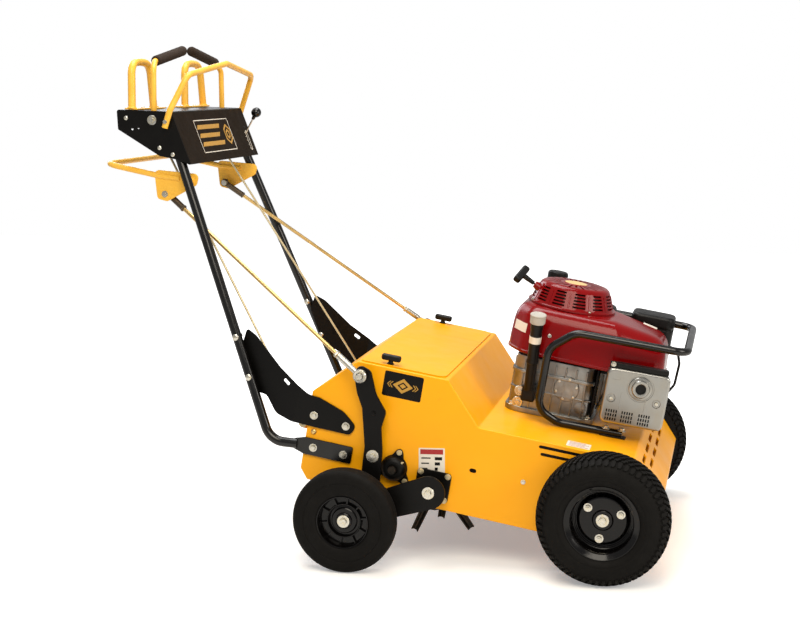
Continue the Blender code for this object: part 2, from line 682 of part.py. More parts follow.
def handle_side(name, side):
    knee = Vector((KNEE[0], side * KNEE[1], KNEE[2]))
    top = Vector((TUBE_TOP[0], side * TUBE_TOP[1], TUBE_TOP[2]))
    strap_y = side * (BODY_HALF + GAP + PLATE_THICKNESS / 2)
    start = Vector((STRAP_REAR_X + 0.006, strap_y, STRAP_Z))
    points = fillet([start, knee, top], [0, 0.085, 0], 6)
    pipe = tube(name + "_handle_tube", points, TUBE_RADIUS, BLACK, 2)
    low, high = STRAP_Z - STRAP_HEIGHT / 2, STRAP_Z + STRAP_HEIGHT / 2
    y0 = BODY_HALF + GAP
    strap_outline = fillet(
        [
            (STRAP_REAR_X - 0.004, STRAP_Z - 0.013),
            (-0.775, low),
            (STRAP_FRONT_X, low),
            (STRAP_FRONT_X, high),
            (-0.775, high),
            (STRAP_REAR_X - 0.004, STRAP_Z + 0.013),
        ],
        0.005,
        2,
        closed=True,
    )
    weld(pipe, side_plate("strap", strap_outline, 0.005, side * (y0 + 0.0025)))
    hang(pipe, CHASSIS)
    rear = [(-0.992, 0.372), (-0.935, 0.262)]
    gusset_outline = fillet(
        [
            (-0.985, 0.416),
            (-0.955, 0.404),
            (-0.872, 0.341),
            (-0.785, 0.292),
            (-0.755, 0.290),
            (-0.687, 0.267),
            (-0.650, 0.236),
            (-0.662, 0.212),
            (-0.745, 0.212),
            (-0.822, 0.214),
            (-0.866, 0.223),
            (-0.900, 0.262),
        ]
        + rear[::-1],
        [0.006, 0, 0, 0, 0, 0.05, 0.015, 0.01, 0, 0, 0.03, 0, 0, 0],
        2,
        closed=True,
    )
    gusset = side_plate(name + "_gusset", gusset_outline, PLATE_THICKNESS, strap_y, BLACK)
    bm = bmesh.new()
    bm.from_mesh(gusset.data)
    everything = bm.verts[:] + bm.edges[:] + bm.faces[:]
    bmesh.ops.bisect_plane(bm, geom=everything, plane_co=(GUSSET_BEND_X, 0, 0), plane_no=(1, 0, 0))
    for vert in bm.verts:
        if vert.co.x < GUSSET_BEND_X:
            # The plate's own Z is the machine's minus Y.
            vert.co.z += side * (GUSSET_BEND_X - vert.co.x) * GUSSET_BEND
    bm.to_mesh(gusset.data)
    bm.free()
    slot = fillet([(-0.858, 0.311), (-0.842, 0.301), (-0.838, 0.309), (-0.854, 0.319)], 0.003, 2, True)
    cut(gusset, side_plate("slot", slot, 0.06, side * (BODY_HALF - 0.008)))
    hang(gusset, CHASSIS)


def console():
    outline = [
        CONSOLE_REAR_TOP,
        PANEL_TOP,
        PANEL_BOTTOM,
        (-1.247, 0.804),
        (-1.298, 0.805),
        CONSOLE_REAR_BOTTOM,
    ]
    shell = side_plate("console_housing", outline, 2 * CONSOLE_HALF, 0, BLACK)
    bm = bmesh.new()
    bm.from_mesh(shell.data)
    bm.normal_update()
    bottom = [f for f in bm.faces if f.normal.y < -0.5]
    bmesh.ops.delete(bm, geom=bottom, context="FACES")
    bm.to_mesh(shell.data)
    bm.free()
    wall = shell.modifiers.new("sheet", "SOLIDIFY")
    wall.thickness = CONSOLE_SHEET
    wall.offset = -1
    wall.use_even_offset = True
    for side in (RIGHT, LEFT):
        y = side * CONTROL_Y
        cut(shell, box("lever_slot", (-1.372, y - 0.008, 0.88), (-1.320, y + 0.008, 0.95)))
    y = THROTTLE_Y
    throttle_slot = box("throttle_slot", (-0.012, y - 0.004, -0.030), (0.012, y + 0.004, 0.027))
    throttle_slot.location = (-1.233, 0, 0.838)
    throttle_slot.rotation_euler = (0, -math.atan2(0.075, 0.127), 0)
    cut(shell, throttle_slot)
    for side in (RIGHT, LEFT):
        wall_y = side * (CONSOLE_HALF - 0.001)
        weld(shell, lateral("tube_bolt", TUBE_BOLT[0], TUBE_BOLT[2], wall_y, side * TUBE_BOLT[1], 0.006))
    hang(shell, CHASSIS)


def rear_loop(name, side):
    """One fixed hand loop, welded on its base strip."""
    inner, outer = (side * leg for leg in LOOP_LEGS)
    points = [
        (LOOP_X, inner, LOOP_Z - 0.006),
        (LOOP_TOP_X + 0.004, inner + side * 0.013, LOOP_TOP_Z - 0.004),
        (LOOP_TOP_X, (inner + outer) / 2, LOOP_TOP_Z + 0.002),
        (LOOP_TOP_X + 0.004, outer - side * 0.013, LOOP_TOP_Z - 0.004),
        (LOOP_X, outer, LOOP_Z - 0.006),
    ]
    route = fillet(points, [0, 0.035, 0, 0.035, 0], 3)
    loop = tube(name + "_hand_loop", route, HANDLE_TUBE_RADIUS, YELLOW, 1)
    low_y, high_y = sorted((side * 0.070, side * 0.2765))
    strip = box("strip", (-0.018, low_y, -0.002), (0.018, high_y, 0.002))
    strip.location = (LOOP_X, 0, LOOP_Z - 0.0060)
    strip.rotation_euler = (0, -math.atan2(0.020, 0.148), 0)
    weld(loop, strip)
    hang(loop, CHASSIS)


def console_loop():
    """The tall loop across the front of the console, bolted to its two sides."""
    half, shoulder = 0.2905, 0.262
    points = [
        (-1.290, -half, 0.880),
        (-1.283, -half, 0.925),
        (-1.258, -shoulder, 1.022),
        (-1.249, 0, 1.055),
        (-1.258, shoulder, 1.022),
        (-1.283, half, 0.925),
        (-1.290, half, 0.880),
    ]
    loop = tube("console_loop", fillet(points, [0, 0.05, 0.03, 0.06, 0.03, 0.05, 0], 2), 0.008, YELLOW, 1)
    hang(loop, CHASSIS)


def control_side(name, side):
    """The squeeze lever with its foam grip, and the long thin rod that it works."""
    y = side * CONTROL_Y
    axis = empty(name + "_control_axis", (CONTROL_X, y, CONTROL_Z), CHASSIS)
    grip_out = Vector((-1.362, side * 0.246, 1.038))
    grip_in = Vector((-1.367, side * 0.006, 1.074))
    along = (grip_in - grip_out).normalized()
    points = [
        (CONTROL_X, side * 0.2240, CONTROL_Z - CONTROL_ARM),
        (CONTROL_X, y, CONTROL_Z),
        (-1.352, side * 0.262, 1.018),
        grip_out + along * 0.010,
        grip_in - along * 0.010,
    ]
    lever = tube(name + "_control_lever", fillet(points, [0, 0.02, 0.02, 0.02, 0], 3), CONTROL_RADIUS, YELLOW)
    pivot_end = side * (CONSOLE_HALF - CONSOLE_SHEET - GAP)
    weld(lever, lateral("pivot", CONTROL_X, CONTROL_Z, y, pivot_end, 0.005))
    low_z = CONTROL_Z - CONTROL_ARM
    lug_y = side * (CONTROL_ROD_Y + 0.0048 + GAP)
    weld(lever, lateral("lug", CONTROL_X, low_z + 0.002, lug_y, side * 0.2240, 0.008))
    hang(lever, axis)
    start = grip_out + along * 0.016
    grip = rod(name + "_grip", start, grip_in, GRIP_RADIUS, FOAM, 16)
    bore = rod("grip_bore", start - along * 0.05, grip_in - along * 0.0085, CONTROL_RADIUS + 0.0007)
    cut(grip, bore)
    hang(grip, axis)
    top = Vector((CONTROL_X, side * CONTROL_ROD_Y, CONTROL_Z - CONTROL_ARM))
    low = Vector((CONTROL_ROD_END[0], side * CONTROL_ROD_END[1], CONTROL_ROD_END[2]))
    rod_axis = empty(name + "_control_rod_axis", low, CHASSIS)
    bar = rod(name + "_control_rod", top, low, CONTROL_ROD_RADIUS, ZINC, 10)
    direction = (low - top).normalized()
    fork = rod("fork", low - direction * 0.045, low, 0.0045, sides=8)
    eye = lateral("eye", low.x, low.z, low.y - side * 0.0081, low.y + side * 0.005, 0.010)
    top_eye = lateral("top_eye", top.x, top.z, top.y - side * 0.003, top.y + side * 0.0048, 0.008)
    weld(bar, fork, eye, top_eye)
    hang(bar, rod_axis)


def throttle():
    axis = empty("throttle_axis", (THROTTLE_X, THROTTLE_Y, THROTTLE_Z), CHASSIS)
    knob = Vector((-1.223, THROTTLE_Y, 0.921))
    pivot = Vector((THROTTLE_X, THROTTLE_Y, THROTTLE_Z))
    along = (knob - pivot).normalized()
    lever = rod("throttle_lever", pivot, knob, 0.0025, BLACK, 8)
    hub = lateral("hub", pivot.x, pivot.z, pivot.y - 0.004, pivot.y + 0.004, 0.009)
    weld(lever, hub, ball("throttle_knob", knob, 0.0145))
    neck = rod("neck", knob - along * 0.022, knob, 0.005, sides=10)
    weld(lever, neck)
    hang(lever, axis)


def guard_bar():
    half = 0.196
    points = [
        (-0.006, -0.165, GUARD_LOW_Z),
        (-0.150, -0.180, GUARD_LOW_Z),
        (-0.226, -0.196, 0.352),
        (-0.226, -0.200, 0.500),
        (-0.165, -0.200, 0.552),
        (0.117, -half, 0.556),
        (0.117, half, 0.560),
        (-0.165, 0.200, 0.556),
        (-0.226, 0.200, 0.500),
        (-0.226, 0.196, 0.352),
        (-0.150, 0.180, GUARD_LOW_Z),
        (-0.006, 0.165, GUARD_LOW_Z),
    ]
    sizes = [0, 0.05, 0.05, 0.05, 0.05, 0.035, 0.035, 0.05, 0.05, 0.05, 0.05, 0]
    bar = tube("guard_bar", fillet(points, sizes, 2), GUARD_RADIUS, BLACK, 1)
    hang(bar, CHASSIS)


def engine_block():
    base = ENGINE_Z
    flange = fillet([(-0.325, -0.12), (-0.085, -0.12), (-0.085, 0.12), (-0.325, 0.12)], 0.04, 3, True)
    case = floor_plate("crankcase", flange, base, base + 0.014, CAST)
    wall = fillet([(-0.315, -0.105), (-0.100, -0.105), (-0.100, 0.105), (-0.315, 0.105)], 0.03, 3, True)
    weld(case, floor_plate("sump", wall, base + 0.010, 0.450))
    weld(case, box("barrel", (-0.105, -0.045, 0.345), (0.020, 0.045, 0.435)))
    for i in range(4):
        x = -0.080 + 0.021 * i
        weld(case, box("fin", (x, -0.062, 0.330), (x + 0.004, 0.062, 0.450)))
    weld(case, box("head", (HEAD_X - 0.020, -HEAD_HALF, 0.328), (HEAD_X + 0.020, HEAD_HALF, 0.452)))
    for x, y in ((-0.302, 0.0), (-0.130, -0.072), (-0.130, 0.072)):
        post_top = SHROUD_Z[1] - SHROUD_SHEET - GAP
        weld(case, rod("post", (x, y, 0.440), (x, y, post_top), 0.008, sides=8))
    shaft_bore = rod("shaft_bore", (CRANK_X, 0, base - 0.02), (CRANK_X, 0, base + 0.060), 0.0145)
    cut(case, shaft_bore)
    hang(case, CHASSIS)


def engine_shroud():
    plan = fillet(
        [
            (-0.345, -0.075),
            (-0.300, -0.140),
            (-0.060, -0.160),
            (0.066, -0.120),
            (0.070, 0.055),
            (-0.062, 0.066),
            (-0.090, 0.098),
            (-0.300, 0.100),
            (-0.345, 0.065),
        ],
        [0.05, 0.05, 0.05, 0.04, 0.04, 0.02, 0.02, 0.04, 0.04],
        2,
        closed=True,
    )
    shroud = floor_plate("engine_shroud", plan, SHROUD_Z[0], SHROUD_Z[1], RED)
    bm = bmesh.new()
    bm.from_mesh(shroud.data)
    bm.normal_update()
    everything = bm.verts[:] + bm.edges[:] + bm.faces[:]
    bmesh.ops.bisect_plane(bm, geom=everything, plane_co=(SHROUD_BREAK_X, 0, 0), plane_no=(1, 0, 0))
    for vert in bm.verts:
        if vert.co.z > 0:
            vert.co.z -= max(0.0, vert.co.x - SHROUD_BREAK_X) * 0.20
            vert.co.x += (SHROUD_MIDDLE_X - vert.co.x) * 0.10
            vert.co.y -= vert.co.y * 0.12
    bottom = [f for f in bm.faces if f.normal.z < -0.5]
    bmesh.ops.delete(bm, geom=bottom, context="FACES")
    bm.to_mesh(shroud.data)
    bm.free()
    wall = shroud.modifiers.new("wall", "SOLIDIFY")
    wall.thickness = SHROUD_SHEET
    wall.offset = -1
    wall.use_even_offset = True
    fan_hole = rod("fan_hole", (CRANK_X, 0, 0.56), (CRANK_X, 0, 0.62), 0.088, sides=20)
    cut(shroud, fan_hole)
    hang(shroud, CHASSIS)


def upright_turned(name, profile, x, y, mat, steps=18):
    """A turned piece on a vertical axis, as a closed ring of profile points (radius, height)."""
    bm = bmesh.new()
    verts = [bm.verts.new((r, 0.0, h)) for r, h in profile]
    for a, b in zip(verts, verts[1:] + verts[:1]):
        bm.edges.new((a, b))
    mesh = bpy.data.meshes.new(name)
    bm.to_mesh(mesh)
    bm.free()
    obj = add_object(name, mesh, mat, (x, y, 0))
    screw = obj.modifiers.new("turn", "SCREW")
    screw.steps = screw.render_steps = steps
    screw.use_merge_vertices = True
    screw.merge_threshold = 0.00005
    return obj


def recoil_starter():
    base = SHROUD_Z[1] + GAP
    profile = [
        (0.101, base),
        (0.101, RECOIL_TOP_Z - 0.010),
        (0.020, RECOIL_TOP_Z - 0.003),
        (0.020, RECOIL_TOP_Z),
        (0.098, RECOIL_TOP_Z - 0.002),
        (0.107, RECOIL_TOP_Z - 0.012),
        (0.110, base + 0.006),
        (RECOIL_RADIUS, base + 0.005),
        (RECOIL_RADIUS, base),
    ]
    cover = upright_turned("recoil_cover", profile, CRANK_X, 0, RED)
    mouth = Vector(ROPE_MOUTH)
    along = Vector((-math.cos(ROPE_RISE), 0.0, math.sin(ROPE_RISE)))
    cut(cover, rod("rope_hole", mouth - along * 0.03, mouth + along * 0.04, ROPE_RADIUS + GAP))
    hang(cover, CHASSIS)
    grip_at = mouth + along * GRIP_REACH
    axis = empty("recoil_axis", grip_at, CHASSIS)
    grip = box("recoil_grip", (-0.011, -0.036, -0.010), (0.011, 0.036, 0.010), PLASTIC)
    edge = grip.modifiers.new("edge", "BEVEL")
    edge.width = 0.006
    edge.segments = 2
    grip.location = grip_at
    grip.rotation_euler = (GRIP_ROLL, ROPE_RISE, 0)
    rope = rod("rope", (0.008, 0, 0), (GRIP_REACH + 0.110, 0, 0), ROPE_RADIUS, sides=10)
    stalk = rod("stalk", (0.006, 0, 0), (GRIP_REACH - 0.013, 0, 0), 0.007, sides=12, end_radius=0.005)
    for piece in (rope, stalk):
        piece.location = grip_at
        piece.rotation_euler = grip.rotation_euler
    weld(grip, rope, stalk)
    hang(grip, axis)


def oil_filler():
    foot = Vector((-0.262, -0.150, 0.372))
    top = Vector((-0.268, -0.178, 0.552))
    along = (top - foot).normalized()
    pipe = rod("oil_filler_tube", foot, top, 0.013, PLASTIC, 16, 0.016)
    weld(pipe, box("filler_foot", (-0.280, -0.154, 0.340), (-0.244, -0.1055, 0.384)))
    hang(pipe, CHASSIS)
    axis = empty("oil_cap_axis", top, CHASSIS)
    cap = rod("oil_cap", top + along * GAP, top + along * 0.026, 0.019, CAP_GREY, 18, 0.021)
    hang(cap, axis)


def muffler():
    """The pressed muffler guard with its outlet, standing beside the cylinder."""
    yaw = math.radians(8)
    origin = Vector((0.012, -0.205, 0.415))
    shield = box("muffler_shield", (-0.080, 0.0, -0.072), (0.080, 0.035, 0.072), SHIELD)
    outlet = rod("outlet", (0.008, -0.010, 0.030), (0.008, 0.010, 0.030), 0.030, sides=24)
    pipe = rod("pipe", (0.008, -0.03, 0.030), (0.008, 0.03, 0.030), 0.014)
    for piece in (outlet, pipe):
        piece.location = origin
        piece.rotation_euler = (0, 0, yaw)
    edge = shield.modifiers.new("edge", "BEVEL")
    edge.width = 0.008
    edge.segments = 2
    shield.location = origin
    shield.rotation_euler = (0, 0, yaw)
    can = box("can", (-0.045, -0.180, 0.355), (0.062, -0.100, 0.440))
    port = lateral("port", HEAD_X, 0.390, -0.110, -(HEAD_HALF + GAP), 0.016)
    weld(shield, outlet, can, port)
    cut(shield, pipe)
    hang(shield, CHASSIS)


def intake_and_fuel():
    cleaner_plan = fillet([(-0.050, 0.078), (0.066, 0.078), (0.066, 0.172), (-0.050, 0.172)], 0.02, 3, True)
    cleaner = floor_plate("air_cleaner", cleaner_plan, 0.480, 0.590, PLASTIC)
    duct_y = 0.110
    down = rod("duct", (HEAD_X, duct_y, 0.485), (HEAD_X, duct_y, 0.384), 0.016)
    across = lateral("intake", HEAD_X, 0.400, duct_y, HEAD_HALF + GAP, 0.014)
    weld(cleaner, down, across)
    hang(cleaner, CHASSIS)
    tank_corners = [(-0.320, TANK_Y[0]), (-0.095, TANK_Y[0]), (-0.095, TANK_Y[1]), (-0.320, TANK_Y[1])]
    tank_plan = fillet(tank_corners, 0.02, 3, True)
    tank = floor_plate("fuel_tank", tank_plan, TANK_Z[0], TANK_Z[1], PLASTIC)
    neck_low, neck_high = (TANK_CAP_X, TANK_CAP_Y, TANK_Z[1] - 0.01), (TANK_CAP_X, TANK_CAP_Y, TANK_CAP_Z)
    weld(tank, rod("neck", neck_low, neck_high, 0.019, sides=16))
    hang(tank, CHASSIS)
    axis = empty("fuel_cap_axis", neck_high, CHASSIS)
    low = (TANK_CAP_X, TANK_CAP_Y, TANK_CAP_Z + GAP)
    high = (TANK_CAP_X, TANK_CAP_Y, TANK_CAP_Z + 0.024)
    hang(rod("fuel_cap", low, high, 0.028, PLASTIC, 20, 0.026), axis)


def spark_lead():
    points = [
        (0.052, 0.020, 0.400),
        (0.082, 0.016, 0.402),
        (0.098, 0.010, 0.430),
        (0.100, 0.000, 0.490),
        (0.088, -0.010, 0.528),
        (0.062, -0.012, 0.532),
    ]
    lead = tube("spark_lead", fillet(points, [0, 0.02, 0.03, 0.03, 0.01, 0], 3), 0.0035, PLASTIC, 1)
    boot = rod("boot", (0.0455, 0.020, 0.400), (0.070, 0.020, 0.400), 0.009, sides=12)
    weld(lead, boot)
    hang(lead, CHASSIS)


def rotor():
    axis = empty("rotor_axis", (ROTOR_X, 0, ROTOR_Z), CHASSIS)
    reach = BODY_HALF + 0.006
    shaft = lateral("tine_shaft", ROTOR_X, ROTOR_Z, -reach, reach, ROTOR_SHAFT_RADIUS, TINE, 16)
    sprocket = lateral("sprocket", ROTOR_X, ROTOR_Z, CHAIN_Y - 0.002, CHAIN_Y + 0.002, 0.054)
    hub = lateral("hub", ROTOR_X, ROTOR_Z, CHAIN_Y - 0.010, CHAIN_Y + 0.010, 0.022)
    weld(shaft, sprocket, hub)
    hang(shaft, axis)
    for n, y in enumerate(REEL_Y):
        reel = lateral(f"tine_reel_{n + 1}", ROTOR_X, ROTOR_Z, y - 0.004, y + 0.004, 0.078, TINE, 12)
        weld(reel, lateral("hub", ROTOR_X, ROTOR_Z, y - 0.022, y + 0.022, 0.026))
        for i in range(TINES_PER_REEL):
            turn = 2 * math.pi * i / TINES_PER_REEL + math.radians(15 + 15 * n)
            spoke = Vector((math.cos(turn), 0, math.sin(turn)))
            middle = Vector((ROTOR_X, y, ROTOR_Z))
            root, tip = middle + spoke * 0.062, middle + spoke * TINE_TIP_RADIUS
            weld(reel, rod("tine", root, tip, 0.012, sides=6, end_radius=TINE_RADIUS))
        cut(reel, lateral("bore", ROTOR_X, ROTOR_Z, y - 0.05, y + 0.05, ROTOR_SHAFT_RADIUS + GAP, sides=16))
        hang(reel, axis)


def rotor_bearings():
    for name, side in SIDES:
        start = side * (BODY_HALF + GAP)
        low_x, high_x = ROTOR_X - 0.044, ROTOR_X + 0.044
        low_z, high_z = ROTOR_Z - 0.032, ROTOR_Z + 0.046
        corners = [(low_x, low_z), (high_x, low_z), (high_x, high_z), (low_x, high_z)]
        outline = fillet(corners, 0.010, 3, closed=True)
        bearing = side_plate(name + "_rotor_bearing", outline, 0.006, start + side * 0.003, BLACK)
        hub = lateral("hub", ROTOR_X, ROTOR_Z, start, side * (ARM_Y - ARM_THICKNESS / 2 - GAP), 0.028)
        weld(bearing, hub)
        shaft_hole = side * (BODY_HALF - 0.018), side * (BODY_HALF + 0.010)
        bore = lateral("bore", ROTOR_X, ROTOR_Z, *shaft_hole, 0.0132)
        pin_hole = side * (ARM_Y - 0.024), side * (ARM_Y + 0.014)
        pin_bore = lateral("pin_bore", ROTOR_X, ROTOR_Z, *pin_hole, PIVOT_PIN + GAP)
        cut(bearing, bore, pin_bore)
        hang(bearing, CHASSIS)


def idler_bearing():
    start = -(BODY_HALF + GAP)
    outline = []
    for i in range(24):
        turn = 2 * math.pi * i / 24
        lobe = max(0.0, math.cos(3 * (turn - math.radians(80)))) ** 2
        radius = 0.029 + 0.016 * lobe
        outline.append((IDLER_X + radius * math.cos(turn), IDLER_Z + radius * math.sin(turn)))
    bearing = side_plate("idler_bearing", outline, 0.006, start - 0.003, BLACK)
    dome = lateral("dome", IDLER_X, IDLER_Z, start - 0.001, start - 0.024, 0.0265, end_radius=0.021)
    weld(bearing, dome)
    cut(bearing, lateral("bore", IDLER_X, IDLER_Z, start + 0.068, start - 0.062, 0.0105, sides=16))
    hang(bearing, CHASSIS)


def chain_drive():
    axis = empty("cross_axis", (CROSS_X, 0, CROSS_Z), CHASSIS)
    reach = BODY_HALF - 0.001
    shaft = lateral("cross_shaft", CROSS_X, CROSS_Z, -reach, reach, 0.008, STEEL, 16)
    sprocket = lateral("sprocket", CROSS_X, CROSS_Z, CHAIN_Y - 0.002, CHAIN_Y + 0.002, 0.019)
    y = ENGINE_PULLEY
    cheeks = []
    for s in (-1, 1):
        faces = y + s * PULLEY_CHEEK, y + s * (PULLEY_CHEEK + 0.0035)
        cheeks.append(lateral("cheek", CROSS_X, CROSS_Z, *faces, CROSS_PULLEY + 0.004))
    core = lateral("core", CROSS_X, CROSS_Z, y - 0.010, y + 0.010, CROSS_PULLEY - BELT_RADIUS - 0.001)
    weld(shaft, sprocket, core, *cheeks)
    hang(shaft, axis)

    idler_axis = empty("idler_axis", (IDLER_X, CHAIN_Y, IDLER_Z), CHASSIS)
    stub = lateral("idler_sprocket", IDLER_X, IDLER_Z, -CUT_REACH, CHAIN_Y + 0.008, 0.010, STEEL, 16)
    weld(stub, lateral("teeth", IDLER_X, IDLER_Z, CHAIN_Y - 0.002, CHAIN_Y + 0.002, 0.016))
    hang(stub, idler_axis)

    first, second = Vector((CROSS_X, CROSS_Z)), Vector((ROTOR_X, ROTOR_Z))
    link = second - first
    heading = math.atan2(link.y, link.x)
    lean = math.asin((ROTOR_SPROCKET - CROSS_SPROCKET) / link.length)

    def loop_outline(grow):
        points = []
        for i in range(13):
            turn = heading - math.pi / 2 - lean + (math.pi + 2 * lean) * i / 12
            points.append(second + Vector((math.cos(turn), math.sin(turn))) * (ROTOR_SPROCKET + grow))
        for i in range(9):
            turn = heading + math.pi / 2 + lean + (math.pi - 2 * lean) * i / 8
            points.append(first + Vector((math.cos(turn), math.sin(turn))) * (CROSS_SPROCKET + grow))
        return points

    half = CHAIN_THICKNESS / 2
    chain = side_plate("drive_chain", loop_outline(half), 2 * CHAIN_HALF_WIDTH, CHAIN_Y, TINE)
    cut(chain, side_plate("inside", loop_outline(-half), 0.04, CHAIN_Y))
    hang(chain, CHASSIS)


def belt_drive():
    axis = empty("crank_axis", (CRANK_X, 0, BELT_Z), CHASSIS)
    pulley = rod("engine_pulley", (CRANK_X, 0, BELT_Z - 0.020), (CRANK_X, 0, 0.352), 0.0125, STEEL, 16)
    for s in (-1, 1):
        low = (CRANK_X, 0, BELT_Z + s * PULLEY_CHEEK)
        high = (CRANK_X, 0, BELT_Z + s * (PULLEY_CHEEK + 0.0035))
        weld(pulley, rod("cheek", low, high, ENGINE_PULLEY + 0.004, sides=16))
    core_low, core_high = (CRANK_X, 0, BELT_Z - 0.010), (CRANK_X, 0, BELT_Z + 0.010)
    weld(pulley, rod("core", core_low, core_high, ENGINE_PULLEY - BELT_RADIUS - 0.001, sides=16))
    hang(pulley, axis)

    points = []
    for i in range(9):
        turn = math.radians(-90 + 22.5 * i)
        points.append((CRANK_X + ENGINE_PULLEY * math.cos(turn), ENGINE_PULLEY * math.sin(turn), BELT_Z))
    for i in range(9):
        turn = math.radians(90 + 22.5 * i)
        x, z = CROSS_PULLEY * math.cos(turn), CROSS_PULLEY * math.sin(turn)
        points.append((CROSS_X + x, ENGINE_PULLEY, CROSS_Z + z))
    run_start = Vector((CROSS_X, ENGINE_PULLEY, CROSS_Z - CROSS_PULLEY))
    run_end = Vector((CRANK_X, -ENGINE_PULLEY, BELT_Z))
    for i in range(1, 8):
        t = i / 8
        ease = t * t * (3 - 2 * t)
        points.append(
            (
                run_start.x + (run_end.x - run_start.x) * t,
                run_start.y + (run_end.y - run_start.y) * ease,
                run_start.z + (run_end.z - run_start.z) * ease,
            )
        )
    belt = tube("drive_belt", points, BELT_RADIUS, BELT, 1, cyclic=True)
    hang(belt, CHASSIS)


def shade_round_faces():
    """Shades every mesh smooth and keeps its real edges sharp."""
    for obj in list(PARTS.objects) + list(HELPERS.objects):
        if obj.type == "MESH":
            obj.data.shade_smooth()
            obj.data.set_sharp_from_angle(angle=SHARP_ANGLE)


def main():
    body_shell()
    hood_lid()
    front_wheels()
    for name, side in SIDES:
        lift_side(name, side)
        handle_side(name, side)
        rear_loop(name, side)
        control_side(name, side)
    lift_bail()
    console()
    console_loop()
    throttle()
    engine_block()
    engine_shroud()
    recoil_starter()
    oil_filler()
    muffler()
    intake_and_fuel()
    spark_lead()
    guard_bar()
    rotor()
    rotor_bearings()
    idler_bearing()
    chain_drive()
    belt_drive()
    shade_round_faces()


main()
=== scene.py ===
"""Looks of a walk-behind lawn aerator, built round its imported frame.

Every mesh is drawn in the chassis frame: metres, X forward, Y to the machine's left, Z up, with the
origin on the ground under the front axle when the chassis stands level. Bench.piece() then tips it
nose down into the world, as the frame stands. mm() holds rows of points in millimetres.
"""

import logging
import math
from dataclasses import dataclass
from enum import Enum
from typing import Any, Optional, Sequence

import bmesh
import bpy
from bmesh.types import BMesh
from bpy.types import Node, NodeTree
from mathutils import Matrix, Vector


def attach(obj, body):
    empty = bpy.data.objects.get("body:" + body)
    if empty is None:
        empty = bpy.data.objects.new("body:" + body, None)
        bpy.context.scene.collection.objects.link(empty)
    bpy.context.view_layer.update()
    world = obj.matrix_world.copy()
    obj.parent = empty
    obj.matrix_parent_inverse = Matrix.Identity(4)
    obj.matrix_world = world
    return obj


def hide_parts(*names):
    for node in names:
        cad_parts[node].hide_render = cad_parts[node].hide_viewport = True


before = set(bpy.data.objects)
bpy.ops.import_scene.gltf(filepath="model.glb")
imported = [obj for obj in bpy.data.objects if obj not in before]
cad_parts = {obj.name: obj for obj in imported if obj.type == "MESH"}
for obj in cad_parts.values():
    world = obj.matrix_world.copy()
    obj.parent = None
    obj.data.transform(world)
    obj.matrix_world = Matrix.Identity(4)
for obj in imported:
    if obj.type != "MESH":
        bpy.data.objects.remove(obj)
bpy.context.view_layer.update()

LOG = logging.getLogger("lawn_aerator")
Point = Sequence[float]
Outline = Sequence[Point]

FRONT_RADIUS = 0.1625
REAR_RADIUS = 0.13
FRONT_TO_CENTRE = 0.578
WHEELBASE = 0.632
PITCH = math.radians(9.5)
LEVEL_SHIFT = (FRONT_TO_CENTRE - FRONT_RADIUS * math.sin(PITCH), 0, FRONT_RADIUS * (1 - math.cos(PITCH)))
CHASSIS = Matrix.Translation(LEVEL_SHIFT) @ Matrix.Rotation(PITCH, 4, "Y")
# Stands a plate drawn in X and Z upright.
UPRIGHT = Matrix.Rotation(math.pi / 2, 4, "X")


class Side(Enum):
    """The machine's own right and left hand, with the sign of their Y."""

    RIGHT = -1
    LEFT = 1

    @property
    def word(self) -> str:
        """The side's name, as the frame's nodes and bodies spell it."""
        return self.name.lower()


# Shapes and places.


def mm(*rows: Point) -> list[tuple[float, ...]]:
    """Gives rows of millimetres in metres."""
    return [tuple(value / 1000 for value in row) for row in rows]


def aim(place: Point, axis: Point = (0, 0, 1), roll: float = 0) -> Matrix:
    """Gives the matrix that stands a shape's Z along an axis.

    Args:
        place: where the shape's origin goes.
        axis: the direction that its Z takes.
        roll: a turn round that axis, in degrees.

    Returns:
        The placing matrix.
    """
    turn = Vector(axis).to_track_quat("Z", "Y").to_matrix().to_4x4()
    return Matrix.Translation(Vector(place)) @ turn @ spin(roll)


def spin(degrees: float, axis: str = "Z") -> Matrix:
    """Gives the matrix that turns a shape round an axis through the origin."""
    return Matrix.Rotation(math.radians(degrees), 4, axis)


def at(x: float, y: float = 0, z: float = 0) -> Matrix:
    """Gives the matrix that moves a shape to a place."""
    return Matrix.Translation((x, y, z))


def outboard(x: float, y: float, z: float, side: Side = Side.RIGHT) -> Matrix:
    """Gives the matrix that points a shape's Z out to a side, at y from the machine's middle."""
    return at(x, side.value * y, z) @ spin(-90 * side.value, "X")


def polar(radius: float, degrees: float) -> Vector:
    """Gives the point of a plan at a distance from its origin and a turn from its X."""
    return Vector((radius * math.cos(math.radians(degrees)), radius * math.sin(math.radians(degrees))))


